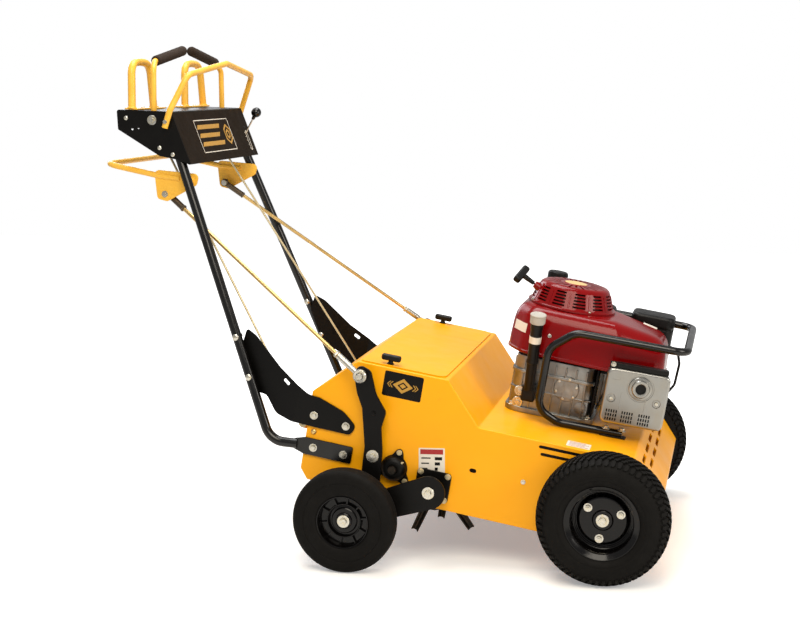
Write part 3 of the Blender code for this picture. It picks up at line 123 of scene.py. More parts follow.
def rounded(points: Outline, radii: Any, steps: int = 4, closed: bool = False) -> list[Vector]:
    """Replaces each corner of a line by an arc.

    Args:
        points: the corners, in two or three dimensions.
        radii: one bend radius, or one for each corner.
        steps: the pieces of each arc.
        closed: whether the line runs back to its start.

    Returns:
        The points of the rounded line.
    """
    corners = [Vector(p) for p in points]
    count = len(corners)
    out = []
    for i, corner in enumerate(corners):
        size = radii[i] if isinstance(radii, (list, tuple)) else radii
        ends = not closed and i in (0, count - 1)
        before, after = corners[i - 1] - corner, corners[(i + 1) % count] - corner
        if ends or size <= 0 or math.pi - before.angle(after) < 0.01:
            out.append(corner)
            continue
        half = before.angle(after) / 2
        reach = min(size / math.tan(half), 0.49 * before.length, 0.49 * after.length)
        first, second = before.normalized(), after.normalized()
        centre = corner + (first + second).normalized() * (reach / math.cos(half))
        start, end = corner + first * reach - centre, corner + second * reach - centre
        swing = start.angle(end)
        for step in range(steps + 1):
            near = math.sin((1 - step / steps) * swing)
            far = math.sin(step / steps * swing)
            out.append(centre + (start * near + end * far) / math.sin(swing))
    return out


def loop(corners: Outline, radii: Any, steps: int = 3) -> list[Vector]:
    """Gives a closed outline with rounded corners."""
    return rounded(corners, radii, steps, True)


def tile(left: float, low: float, right: float, high: float, bend: float = 0, steps: int = 3) -> list[Vector]:
    """Gives the outline of a rectangle, clockwise, with rounded corners."""
    return loop([(left, low), (left, high), (right, high), (right, low)], bend, steps)


def inset(outline: Outline, depth: float) -> list[Point]:
    """Moves each edge of a closed outline inwards.

    Args:
        outline: its corners, clockwise.
        depth: how far the edges move.

    Returns:
        The new corners.
    """
    moved = []
    for i, corner in enumerate(outline):
        here = Vector(corner)
        first = (here - Vector(outline[i - 1])).normalized()
        second = (Vector(outline[(i + 1) % len(outline)]) - here).normalized()
        normal = Vector((first.y, -first.x))
        bisector = (normal + Vector((second.y, -second.x))).normalized()
        moved.append(tuple(here + bisector * (depth / max(0.3, bisector.dot(normal)))))
    return moved


def circle(x: float, y: float, radius: float, steps: int = 24) -> list[Vector]:
    """Gives the outline of a circle."""
    return [Vector((x, y)) + polar(radius, 360 * i / steps) for i in range(steps)]


def slot(x: float, y: float, length: float, width: float, turn: float = 0) -> list[Vector]:
    """Gives the outline of a slot with round ends.

    Args:
        x: the place of its middle.
        y: the place of its middle.
        length: its whole length, along X.
        width: its width.
        turn: the turn of its length from X, in degrees.

    Returns:
        Its points.
    """
    turned = Matrix.Rotation(math.radians(turn), 2)
    straight = Vector(((length - width) / 2, 0))
    out = []
    for end in (1, -1):
        out += [turned @ (straight + polar(width / 2, 30 * i - 90)) * end + Vector((x, y)) for i in range(7)]
    return out


def dome(radius: float, height: float, rings: int = 5) -> list[Point]:
    """Gives the profile points of a low dome, from its rim up to the axis."""
    turns = [math.pi / 2 * i / rings for i in range(rings + 1)]
    return [(radius * math.cos(t), height * math.sin(t)) for t in turns]


def collar(bore: float, radius: float, low: float, high: float, edge: float = 0) -> list[Point]:
    """Gives the profile of a ring whose outer rims are broken by an edge."""
    shoulder = radius - edge
    return [
        (bore, low), (shoulder, low), (radius, low + edge), (radius, high - edge), (shoulder, high),
        (bore, high),
    ]


def outward(mesh: BMesh) -> BMesh:
    """Turns the faces of a mesh to look out of it, and returns it."""
    bmesh.ops.recalc_face_normals(mesh, faces=mesh.faces)
    return mesh


def stitch(mesh: BMesh, rings: Sequence[Any], closed: bool = False) -> list[Any]:
    """Skins a row of rings that have the same number of corners.

    Args:
        mesh: where the faces go.
        rings: the corners of each ring, in order.
        closed: whether the last ring meets the first, in place of a cap on both.

    Returns:
        The two caps, or nothing.
    """
    caps = [] if closed else [mesh.faces.new(rings[0]), mesh.faces.new(rings[-1])]
    for first, second in zip(rings, rings[1:] + rings[:1] if closed else rings[1:]):
        for i in range(len(first)):
            j = (i + 1) % len(first)
            mesh.faces.new([first[i], first[j], second[j], second[i]])
    return caps


def lathe(profile: Outline, steps: int = 48) -> BMesh:
    """Turns a closed profile of (radius, height) round Z. Points on the axis close it there.

    Args:
        profile: the profile's points in order.
        steps: the pieces of the turn.

    Returns:
        The closed mesh.
    """
    mesh = bmesh.new()
    rings = []
    for radius, height in profile:
        turns = [360 * i / steps for i in range(steps if radius > 1e-6 else 1)]
        rings.append([mesh.verts.new((*polar(radius, t), height)) for t in turns])
    for first, second in zip(rings, rings[1:] + rings[:1]):
        if len(first) == 1 and len(second) == 1:
            continue
        for i in range(steps):
            j = (i + 1) % steps
            face = [
                first[i % len(first)], first[j % len(first)], second[j % len(second)],
                second[i % len(second)],
            ]
            mesh.faces.new(list(dict.fromkeys(face)))
    return outward(mesh)


def prism(outline: Outline, low: float, high: float, edge: float = 0, steps: int = 2) -> BMesh:
    """Raises a flat outline from one height to another, with its rims rounded.

    Args:
        outline: the corners in X and Y.
        low: the height of its lower face.
        high: the height of its upper face.
        edge: the radius of both rims.
        steps: the pieces of each rim's round.

    Returns:
        The closed mesh.
    """
    mesh = bmesh.new()
    caps = stitch(mesh, [[mesh.verts.new((p[0], p[1], h)) for p in outline] for h in (low, high)])
    outward(mesh)
    if edge > 0:
        bevel(mesh, list({rim: None for cap in caps for rim in cap.edges}), edge, steps)
    return mesh


def bevel(mesh: BMesh, edges: Sequence[Any], size: float, steps: int) -> None:
    """Rounds the given edges of a mesh."""
    bmesh.ops.bevel(
        mesh, geom=edges, offset=size, segments=steps, profile=0.5, affect="EDGES", clamp_overlap=True,
    )


def block(low: Point, high: Point, edge: float = 0, steps: int = 2) -> BMesh:
    """Makes a box.

    Args:
        low: its lowest corner.
        high: its highest corner.
        edge: the radius of its edges.
        steps: the pieces of each edge's round.

    Returns:
        The closed mesh.
    """
    mesh = bmesh.new()
    low, high = Vector(low), Vector(high)
    bmesh.ops.create_cube(mesh, size=1)
    bmesh.ops.scale(mesh, vec=high - low, verts=mesh.verts)
    bmesh.ops.translate(mesh, vec=(low + high) / 2, verts=mesh.verts)
    if edge > 0:
        bevel(mesh, mesh.edges[:], edge, steps)
    return mesh


def pipe(points: Outline, radius: Any, sides: int = 16, closed: bool = False) -> BMesh:
    """Runs a round bar along points, with flat ends.

    Args:
        points: the bar's middle line.
        radius: one radius, or one for each point.
        sides: the sides of its section.
        closed: whether it runs back to its start.

    Returns:
        The closed mesh.
    """
    line = [Vector(p) for p in points]
    mesh = bmesh.new()
    rings = []
    flank: Optional[Vector] = None
    for i, point in enumerate(line):
        ahead = line[(i + 1) % len(line)] if closed or i < len(line) - 1 else point
        behind = line[i - 1] if closed or i > 0 else point
        along = (ahead - behind).normalized()
        flank = flank or along.orthogonal()
        flank = (flank - along * flank.dot(along)).normalized()
        other = along.cross(flank)
        size = radius[i] if isinstance(radius, (list, tuple)) else radius
        spots = [polar(size, 360 * s / sides) for s in range(sides)]
        rings.append([mesh.verts.new(point + flank * spot.x + other * spot.y) for spot in spots])
    stitch(mesh, rings, closed)
    return outward(mesh)


def rod(start: Point, end: Point, radius: float, sides: int = 24, edge: float = 0) -> BMesh:
    """Makes a straight round bar.

    Args:
        start: the middle of its first end.
        end: the middle of its other end.
        radius: its radius.
        sides: the sides of its section.
        edge: the radius of its end rims.

    Returns:
        The closed mesh.
    """
    start, end = Vector(start), Vector(end)
    length = (end - start).length
    profile = [(0, 0), (radius - edge, 0), (radius - edge * 0.3, edge * 0.3), (radius, edge)]
    profile = profile if edge else [(0, 0), (radius, 0)]
    mesh = lathe(profile + [(r, length - h) for r, h in reversed(profile)], sides)
    mesh.transform(aim(start, end - start))
    return mesh


def across(
    x: float, z: float, start: float, end: float, radius: float, sides: int = 28, edge: float = 0,
) -> BMesh:
    """Makes a round bar along Y."""
    return rod((x, start, z), (x, end, z), radius, sides, edge)


def ball(radius: float) -> BMesh:
    """Makes a sphere.

    Args:
        radius: its radius.

    Returns:
        The closed mesh.
    """
    mesh = bmesh.new()
    bmesh.ops.create_uvsphere(mesh, u_segments=32, v_segments=20, radius=radius)
    return mesh


def hex_bolt(size: float, height: float, washer: float = 0, thick: float = 0.0018) -> BMesh:
    """Makes a hexagon bolt head that stands on Z = 0, on a washer where one is asked for.

    Args:
        size: the head's width between its flats.
        height: the head's own height.
        washer: the washer's radius, or 0 for none.
        thick: the washer's thickness.

    Returns:
        The mesh of head and washer.
    """
    base = thick if washer else 0
    foot, top = base + height / 2, base + height
    mesh = prism(circle(0, 0, size / math.sqrt(3), 6), base - 0.0004, top, min(0.0011, height / 4))
    join(mesh, lathe([(0, foot), (size * 0.42, foot), (size * 0.4, top + 0.0003), (0, top + 0.0005)], 24))
    return join(mesh, lathe(collar(0.001, washer, 0, thick, 0.0004), 36)) if washer else mesh


def round_bolt(radius: float, height: float) -> BMesh:
    """Makes a domed bolt head that stands on Z = 0."""
    crown = [(r, height * 0.2 + h) for r, h in dome(radius, height * 0.8)]
    return lathe([(0, 0), (radius, 0), *crown], 28)


def join(mesh: BMesh, other: BMesh, place: Matrix = Matrix()) -> BMesh:
    """Adds a second mesh to the first, and uses it up.

    Args:
        mesh: the first mesh.
        other: the second one.
        place: where the second one goes.

    Returns:
        The first mesh.
    """
    loose = bpy.data.meshes.new("loose")
    other.to_mesh(loose)
    other.free()
    loose.transform(place)
    mesh.from_mesh(loose)
    bpy.data.meshes.remove(loose)
    return mesh


def drawn(obj: bpy.types.Object) -> BMesh:
    """Gives an object's mesh as Blender draws it, and removes the object.

    Args:
        obj: the object, which is linked to the scene here.

    Returns:
        Its mesh, with its modifiers or its curve worked out.
    """
    bpy.context.scene.collection.objects.link(obj)
    data = bpy.data.meshes.new_from_object(obj.evaluated_get(bpy.context.evaluated_depsgraph_get()))
    mesh = bmesh.new()
    mesh.from_mesh(data)
    bpy.data.meshes.remove(data)
    bpy.data.objects.remove(obj)
    return mesh


def carve(solid: BMesh, tools: BMesh) -> BMesh:
    """Cuts the tools out of a solid with an exact Boolean.

    Args:
        solid: a closed mesh.
        tools: closed shapes, which may pass through each other.

    Returns:
        The cut mesh.
    """
    objects = []
    for name, mesh in (("solid", solid), ("tools", tools)):
        data = bpy.data.meshes.new(name)
        mesh.to_mesh(data)
        mesh.free()
        objects.append(bpy.data.objects.new(name, data))
    step = objects[0].modifiers.new("carve", "BOOLEAN")
    step.solver = "EXACT"
    step.use_self = True
    step.object = objects[1]
    bpy.context.scene.collection.objects.link(objects[1])
    made = drawn(objects[0])
    bpy.data.objects.remove(objects[1])
    return made


def punched(
    outline: Outline, holes: Sequence[Outline], low: float, high: float, edge: float = 0.0006,
) -> BMesh:
    """Makes a flat plate with holes through it and a small round on every rim.

    Args:
        outline: the plate's outline in X and Y.
        holes: the outlines of its holes.
        low: the height of its lower face.
        high: the height of its upper face.
        edge: the radius of the rims.

    Returns:
        The closed mesh.
    """
    curve = bpy.data.curves.new("plate", "CURVE")
    curve.dimensions = "2D"
    curve.fill_mode = "BOTH"
    curve.extrude = (high - low) / 2 - edge
    curve.bevel_depth = edge
    curve.bevel_resolution = 1
    curve.offset = -edge
    for line in [outline, *holes]:
        spline = curve.splines.new("POLY")
        spline.points.add(len(line) - 1)
        for target, point in zip(spline.points, line):
            target.co = (point[0], point[1], 0, 1)
        spline.use_cyclic_u = True
    mesh = drawn(bpy.data.objects.new("plate", curve))
    bmesh.ops.remove_doubles(mesh, verts=mesh.verts, dist=1e-6)
    bmesh.ops.translate(mesh, vec=(0, 0, (low + high) / 2), verts=mesh.verts)
    return outward(mesh)


def side_plate(
    outline: Outline, side: Side, near: float, far: float, edge: float = 0.001, holes: Sequence[Outline] = ()
) -> BMesh:
    """Stands a plate drawn in X and Z on one side of the machine.

    Args:
        outline: its outline in X and Z.
        side: which side.
        near: the distance of its inner face from the machine's middle.
        far: the distance of its outer face.
        edge: the radius of its rims.
        holes: the outlines of holes through it.

    Returns:
        The closed mesh.
    """
    low, high = (near, far) if side is Side.RIGHT else (-far, -near)
    flat = punched(outline, holes, low, high, edge) if holes else prism(outline, low, high, edge)
    flat.transform(UPRIGHT)
    return flat


# The finishes.


def linear(colour: str) -> tuple[float, float, float, float]:
    """Turns an sRGB hex colour to linear light.

    Args:
        colour: such as "#F5A60A".

    Returns:
        Red, green, blue and an alpha of 1.
    """
    parts = [int(colour[i : i + 2], 16) / 255 for i in (1, 3, 5)]
    red, green, blue = (c / 12.92 if c <= 0.04045 else ((c + 0.055) / 1.055) ** 2.4 for c in parts)
    return red, green, blue, 1


def per_metre(size: float) -> float:
    """Gives the texture scale at which one cell of a pattern is a number of millimetres across."""
    return 1000 / size


def add_node(
    tree: NodeTree, kind: str, settings: dict[Any, Any], links: Optional[dict[Any, Any]] = None,
) -> Node:
    """Adds one node.

    Args:
        tree: the material's or the world's node tree.
        kind: the node's Blender type, after the word ShaderNode.
        settings: its properties, and the values of its sockets by name or number.
        links: the node or the output that feeds each of its sockets.

    Returns:
        The node.
    """
    node = tree.nodes.new("ShaderNode" + kind)
    for key, value in settings.items():
        if isinstance(key, str) and hasattr(node, key):
            setattr(node, key, value)
        else:
            node.inputs[key].default_value = value
    for key, source in (links or {}).items():
        tree.links.new(source.outputs[0] if isinstance(source, Node) else source, node.inputs[key])
    return node


def drift(tree: NodeTree, place: Any, size: float, noise: dict[str, float], span: Sequence[float]) -> Node:
    """Spreads soft patches over a surface.

    Args:
        tree: the material's node tree.
        place: what gives the place on the surface.
        size: the size of a patch in millimetres.
        noise: how the patches break up, by the sockets of the noise.
        span: the low and high end of the noise that counts, and the two values that they become.

    Returns:
        The node that gives the value.
    """
    patches = add_node(tree, "TexNoise", {"Scale": per_metre(size), **noise}, {"Vector": place})
    names = ("From Min", "From Max", "To Min", "To Max")
    return add_node(tree, "MapRange", dict(zip(names, span)), {"Value": patches})


@dataclass(frozen=True)
class Finish:
    """A surface: what it is made of and how it was made.

    Its tone is a broad drift of the colour: the size of a patch in millimetres and the share of the
    shade. Its grain is the fine relief: the size of a grain in millimetres, the strength, and the
    height in millimetres. Its gloss drifts a little too.
    """

    name: str
    slot: str
    colour: str
    shade: str
    roughness: float
    tone: tuple[float, float] = (60, 0.5)
    grain: tuple[float, float, float] = (1, 0.1, 0.2)
    specular: float = 0.5
    metallic: float = 0
    gloss_drift: float = 0.06
    coat: float = 0
    cells: bool = False

    def material(self) -> bpy.types.Material:
        """Makes the material, once for the whole machine.

        Returns:
            The material.
        """
        found = bpy.data.materials.get(self.name)
        if found:
            return found
        made = bpy.data.materials.new(self.name)
        made.use_nodes = True
        tree = made.node_tree
        shader = tree.nodes["Principled BSDF"].inputs
        shader["Metallic"].default_value = self.metallic
        shader["Coat Weight"].default_value = self.coat
        shader["Coat Roughness"].default_value = 0.06
        shader["Specular IOR Level"].default_value = self.specular
        if not self.metallic:
            shader["IOR"].default_value = 1.5
        made.diffuse_color = linear(self.colour)
        place = add_node(tree, "TexCoord", {}).outputs["Object"]
        tree.links.new(self.tint(tree, place), shader["Base Color"])
        tree.links.new(self.gloss(tree, place).outputs[0], shader["Roughness"])
        tree.links.new(self.relief(tree, place).outputs[0], shader["Normal"])
        return made

    def tint(self, tree: NodeTree, place: Any) -> Any:
        """Drifts the colour over the surface.

        Args:
            tree: the material's node tree.
            place: the output with the place on the object, in metres.

        Returns:
            The output with the colour.
        """
        size, most = self.tone
        share = drift(tree, place, size, {"Detail": 4, "Roughness": 0.6}, (0.3, 0.75, 0, most))
        colours = {"data_type": "RGBA", 6: linear(self.colour), 7: linear(self.shade)}
        return add_node(tree, "Mix", colours, {0: share}).outputs[2]

    def gloss(self, tree: NodeTree, place: Any) -> Node:
        """Drifts the roughness over the surface, in smears smaller than the tone's patches."""
        span = (0.3, 0.7, self.roughness - self.gloss_drift, self.roughness + self.gloss_drift)
        return drift(tree, place, self.tone[0] * 0.4, {"Detail": 3}, span)

    def relief(self, tree: NodeTree, place: Any) -> Node:
        """Raises the grain, as closed cells or as soft noise.

        Args:
            tree: the material's node tree.
            place: the output with the place on the object, in metres.

        Returns:
            The node that gives the bent normal.
        """
        size, strength, height = self.grain
        grain = add_node(
            tree, "TexVoronoi" if self.cells else "TexNoise", {"Scale": per_metre(size)}, {"Vector": place},
        )
        return add_node(tree, "Bump", {"Strength": strength, "Distance": height / 1000}, {"Height": grain})


@dataclass(frozen=True)
class ChromatedZinc(Finish):
    """Zinc plate dipped in chromate, whose film drifts between straw, green and pink."""

    film: str = "#C58F6E"
    film_mm: float = 14
    film_share: float = 0.5

    def tint(self, tree: NodeTree, place: Any) -> Any:
        """Lays the film's second hue over the drift.

        Args:
            tree: the material's node tree.
            place: the output with the place on the object, in metres.

        Returns:
            The output with the colour.
        """
        ground = Finish.tint(self, tree, place)
        noise = {"Detail": 2, "Distortion": 1.2}
        share = drift(tree, place, self.film_mm, noise, (0.45, 0.7, 0, self.film_share))
        return add_node(
            tree, "Mix", {"data_type": "RGBA", 7: linear(self.film)}, {0: share, 6: ground},
        ).outputs[2]


@dataclass(frozen=True)
class StainedCoat(Finish):
    """Powder coat with faint greasy smears, as on a machine that has been handled."""

    stain: str = "#9C6208"
    stain_mm: float = 70
    stain_share: float = 0.35

    def tint(self, tree: NodeTree, place: Any) -> Any:
        """Rubs smears into the drift, drawn out along the machine.

        Args:
            tree: the material's node tree.
            place: the output with the place on the object, in metres.

        Returns:
            The output with the colour.
        """
        ground = Finish.tint(self, tree, place)
        stretch = add_node(
            tree, "Mapping", {"Scale": (0.5, 1, 1.4), "Rotation": (0, 0.4, 0.3)}, {"Vector": place},
        )
        noise = {"Detail": 6, "Roughness": 0.65, "Distortion": 0.6}
        share = drift(tree, stretch.outputs[0], self.stain_mm, noise, (0.62, 0.8, 0, self.stain_share))
        return add_node(
            tree, "Mix", {"data_type": "RGBA", 7: linear(self.stain)}, {0: share, 6: ground},
        ).outputs[2]


@dataclass(frozen=True)
class DustedRubber(Finish):
    """Vulcanised rubber with pale dust on what faces up."""

    dust: str = "#4A443B"
    dust_share: float = 0.35

    def tint(self, tree: NodeTree, place: Any) -> Any:
        """Settles dust in patches on upward faces.

        Args:
            tree: the material's node tree.
            place: the output with the place on the object, in metres.

        Returns:
            The output with the colour.
        """
        ground = Finish.tint(self, tree, place)
        facing = add_node(tree, "NewGeometry", {}).outputs["Normal"]
        height = add_node(tree, "SeparateXYZ", {}, {0: facing}).outputs[2]
        span = {"From Min": -0.2, "From Max": 1, "To Min": 0.1, "To Max": self.dust_share}
        up = add_node(tree, "MapRange", span, {"Value": height})
        cloud = {"Scale": per_metre(22), "Detail": 5, "Roughness": 0.7}
        patches = add_node(tree, "TexNoise", cloud, {"Vector": place})
        share = add_node(tree, "Math", {"operation": "MULTIPLY"}, {0: up, 1: patches})
        return add_node(
            tree, "Mix", {"data_type": "RGBA", 7: linear(self.dust)}, {0: share, 6: ground},
        ).outputs[2]


# Polyester powder, sprayed dry and baked: a thick even skin with fine orange peel, so highlights
# are broad and slightly wavy. The peel is really 2 mm, drawn at 5 mm so that it shows.
YELLOW_POWDER_COAT = StainedCoat(
    "yellow powder coat", "yellow_powder_coat", "#F9AA0A", "#EE9C04", 0.34, (160, 0.4), (5, 0.14, 0.4), 0.22
)
# The same powder on the thin loops, painted paler all over as a painted highlight, for the light that thin
# round tubes catch.
LIT_LOOP_POWDER_COAT = StainedCoat(
    "handled yellow powder coat", "yellow_powder_coat", "#F6BE48", "#E5A42C", 0.3, (45, 0.5),
    (5, 0.14, 0.4), 0.35,
)
# The same powder in satin black: brown-black where light rakes it, with a fine pebble.
BLACK_POWDER_COAT = Finish(
    "black powder coat", "black_powder_coat", "#060504", "#0B0907", 0.42, (90, 0.5), (3, 0.2, 0.4), 0.16
)
# Gloss enamel on the bent tubes: the same black under a thin clear skin, with long highlights.
TUBE_ENAMEL = Finish(
    "black tube enamel", "black_powder_coat", "#060504", "#0C0A08", 0.2, (70, 0.5), (12, 0.06, 0.5), 0.42
)
# Tyre rubber, moulded and vulcanised: deep matt black with a faint brown bloom and dust.
TYRE_RUBBER = DustedRubber(
    "moulded tyre rubber", "black_rubber", "#080706", "#0E0C0A", 0.7, (40, 0.5), (2, 0.35, 0.4), 0.12,
    dust="#2A2620", dust_share=0.18,
)
# Wheel enamel, dipped and baked on pressed steel: wet-looking black with crisp ring highlights.
WHEEL_ENAMEL = Finish(
    "black wheel enamel", "black_wheel_paint", "#050404", "#0A0807", 0.18, (50, 0.5), (9, 0.08, 0.5), 0.26
)
# Zinc plate under yellow chromate: straw gold with drifts of green and pink.
YELLOW_ZINC = ChromatedZinc(
    "yellow chromated zinc", "yellow_zinc", "#D9B778", "#CBA764", 0.3, (160, 0.3), (3, 0.02, 0.2),
    metallic=1, film="#D3A25C", film_mm=150, film_share=0.15,
)
# The thin rods carry a lighter chromate, nearer to silver.
STRAW_ZINC = ChromatedZinc(
    "straw chromated zinc", "yellow_zinc", "#CDBF9B", "#BCAB82", 0.44, (120, 0.3), (3, 0.02, 0.2),
    metallic=0.8, film="#C4A266", film_mm=120, film_share=0.2,
)
# Zinc plate under clear chromate: pale, a little milky, never mirror-like.
BRIGHT_ZINC = ChromatedZinc(
    "clear chromated zinc", "bright_steel", "#D2CFC6", "#B1AC9F", 0.28, (12, 0.5),
    metallic=1, film="#C9B885", film_mm=9,
)
# Steel under brown phosphate: the clevises, dull and almost without reflections.
PHOSPHATED_STEEL = ChromatedZinc(
    "phosphated steel", "yellow_zinc", "#5C5144", "#463D33", 0.45, (15, 0.5), (1.5, 0.3, 0.2),
    metallic=0.9, film="#6E5C45", film_mm=12, film_share=0.4,
)
# Forged and quenched steel: dark oxide with polished patches where soil has rubbed.
FORGED_TINE_STEEL = ChromatedZinc(
    "forged tine steel", "dark_tine_steel", "#2E2A25", "#49433B", 0.48, (18, 0.5), (2.5, 0.5, 0.6),
    metallic=0.8, film="#503826", film_mm=25,
)
# Die-cast aluminium, left as cast: matt grey with a sandy skin that scatters the light.
CAST_ALUMINIUM = Finish(
    "cast aluminium", "cast_aluminium", "#A3A3A1", "#6E6C68", 0.38, (40, 0.8), (3, 0.2, 0.6),
    metallic=1, gloss_drift=0.08,
)
# Stoved enamel on pressed steel: deep cherry red under a wet gloss.
RED_ENAMEL = Finish(
    "red stoved enamel", "red_shroud_paint", "#7E0507", "#640406", 0.16, (120, 0.5),
    (14, 0.07, 0.8), 0.2, coat=0.05,
)
# ABS, injection moulded in a spark-eroded tool: charcoal with a fine even leathery grain.
BLACK_ABS = Finish(
    "moulded black plastic", "black_plastic", "#0A0908", "#121110", 0.4, (60, 0.5),
    (1.6, 0.3, 0.3), 0.22, cells=True,
)
# Stainless sheet, pressed: satin silver that warms to straw where it has been hot.
PRESSED_STAINLESS = ChromatedZinc(
    "pressed stainless steel", "muffler_steel", "#A3A29E", "#908E88", 0.3, (90, 0.3), (9, 0.02, 0.2),
    metallic=1, gloss_drift=0.02, film="#A59575", film_mm=80, film_share=0.25,
)
# Nitrile foam, extruded: dark brown and matt with open cells. Real cells are 0.5 mm, drawn at 2 mm.
GRIP_FOAM = Finish(
    "nitrile grip foam", "grip_foam", "#2A1E15", "#35281C", 0.88, (30, 0.5), (2, 0.8, 0.9), 0.25, cells=True
)
# Wrapped belt rubber: fabric-faced, flat black.
BELT_RUBBER = DustedRubber(
    "wrapped belt rubber", "drive_belt_rubber", "#121110", "#1C1A17", 0.8, (15, 0.5), (1.2, 0.5, 0.2), 0.2
)
# Nylon, moulded and undyed but for grey: waxy and faintly mottled.
GREY_NYLON = Finish("grey nylon", "grey_cap_plastic", "#B7B3AA", "#A29D92", 0.42, (25, 0.5), (1.5, 0.2, 0.2))
# Phenolic resin, moulded and tumbled: a glassy black ball.
PHENOLIC = Finish("black phenolic", "black_plastic", "#050505", "#090909", 0.1, (20, 0.5), (6, 0.04, 0.2))
# Vinyl film, printed and laid flat: an even semi-gloss skin, which the black one has a little duller.
SMOOTH = (6, 0.06, 0.2)
BLACK_VINYL = Finish(
    "black vinyl film", "black_powder_coat", "#090705", "#0F0C09", 0.3, (40, 0.5), SMOOTH, 0.15,
)
PALE_VINYL = Finish("pale vinyl film", "grey_cap_plastic", "#E3DBCD", "#D6CCBC", 0.38, (30, 0.5), SMOOTH)
GOLD_VINYL = Finish("gold vinyl film", "yellow_powder_coat", "#B9892C", "#A4771F", 0.36, (30, 0.5), SMOOTH)
CREAM_VINYL = Finish("cream vinyl film", "yellow_powder_coat", "#D9B97E", "#CBA566", 0.4, (20, 0.5), SMOOTH)
RED_VINYL = Finish("red vinyl film", "red_shroud_paint", "#A31414", "#8E0F0F", 0.36, (30, 0.5), SMOOTH)
# Textured paint on the console's face: warm charcoal with a coarse satin pebble.
TEXTURED_PANEL = Finish(
    "textured panel paint", "black_powder_coat", "#1C140B", "#251B10", 0.6, (70, 0.5), (3, 0.3, 0.5), 0.06
)


class Bench:
    """Gathers shapes, drawn in the chassis frame, into one piece of the machine."""

    def __init__(self, side: Optional[Side] = None) -> None:
        """Starts a piece.

        Args:
            side: the side whose word its names carry, or none for a piece of the middle.
        """
        self.mesh = bmesh.new()
        self.side = side or Side.RIGHT
        self.word = f"{side.word}_" if side else ""

    def on(self, side: Side) -> "Bench":
        """Turns to a side of the machine for the next shapes, and returns the bench."""
        self.side = side
        return self

    def add(self, shape: BMesh, place: Matrix = Matrix()) -> "Bench":
        """Adds a shape at a place, and returns the bench."""
        join(self.mesh, shape, place)
        return self

    def plate(self, outline: Outline, near: float, far: float, edge: float = 0.001) -> "Bench":
        """Adds an upright plate on its side, from near to far off the middle."""
        return self.add(side_plate(outline, self.side, near, far, edge))

    def pin(self, x: float, z: float, near: float, far: float, *shape: float) -> "Bench":
        """Adds a round bar that runs outwards on its side, from near to far off the middle."""
        return self.add(across(x, z, self.side.value * near, self.side.value * far, *shape))

    def out(self, x: float, y: float, z: float, shape: BMesh) -> "Bench":
        """Adds a shape that points out on its side, at y from the middle."""
        return self.add(shape, outboard(x, y, z, self.side))

    def bolt(self, x: float, y: float, z: float, *head: float) -> "Bench":
        """Adds a hexagon bolt head that points out on its side."""
        return self.out(x, y, z, hex_bolt(*head))

    def piece(
        self, name: str, finish: Finish, node: str = "", body: str = "chassis", sharp: float = 35
    ) -> bpy.types.Object:
        """Turns what is on the bench into an object that rides on a body of the frame.

        Args:
            name: the piece's name, without its side's word.
            finish: what it is made of.
            node: the frame's node that it stands for, without its side's word, or nothing.
            body: the frame's body that it moves with, without its side's word.
            sharp: the angle from which an edge stays crisp, in degrees.

        Returns:
            The object.
        """
        name = self.word + name
        data = bpy.data.meshes.new(name)
        self.mesh.to_mesh(data)
        self.mesh.free()
        data.transform(CHASSIS)
        data.shade_smooth()
        data.set_sharp_from_angle(angle=math.radians(sharp))
        data.materials.append(finish.material())
        obj = bpy.data.objects.new(name, data)
        bpy.context.scene.collection.objects.link(obj)
        obj.modifiers.new("flat faces stay flat", "WEIGHTED_NORMAL").keep_sharp = True
        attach(obj, body if body == "chassis" else self.word + body)
        if node:
            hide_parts(self.word + node)
        LOG.info("%s: %d faces, on %s", name, len(data.polygons), body)
        return obj


# The body.


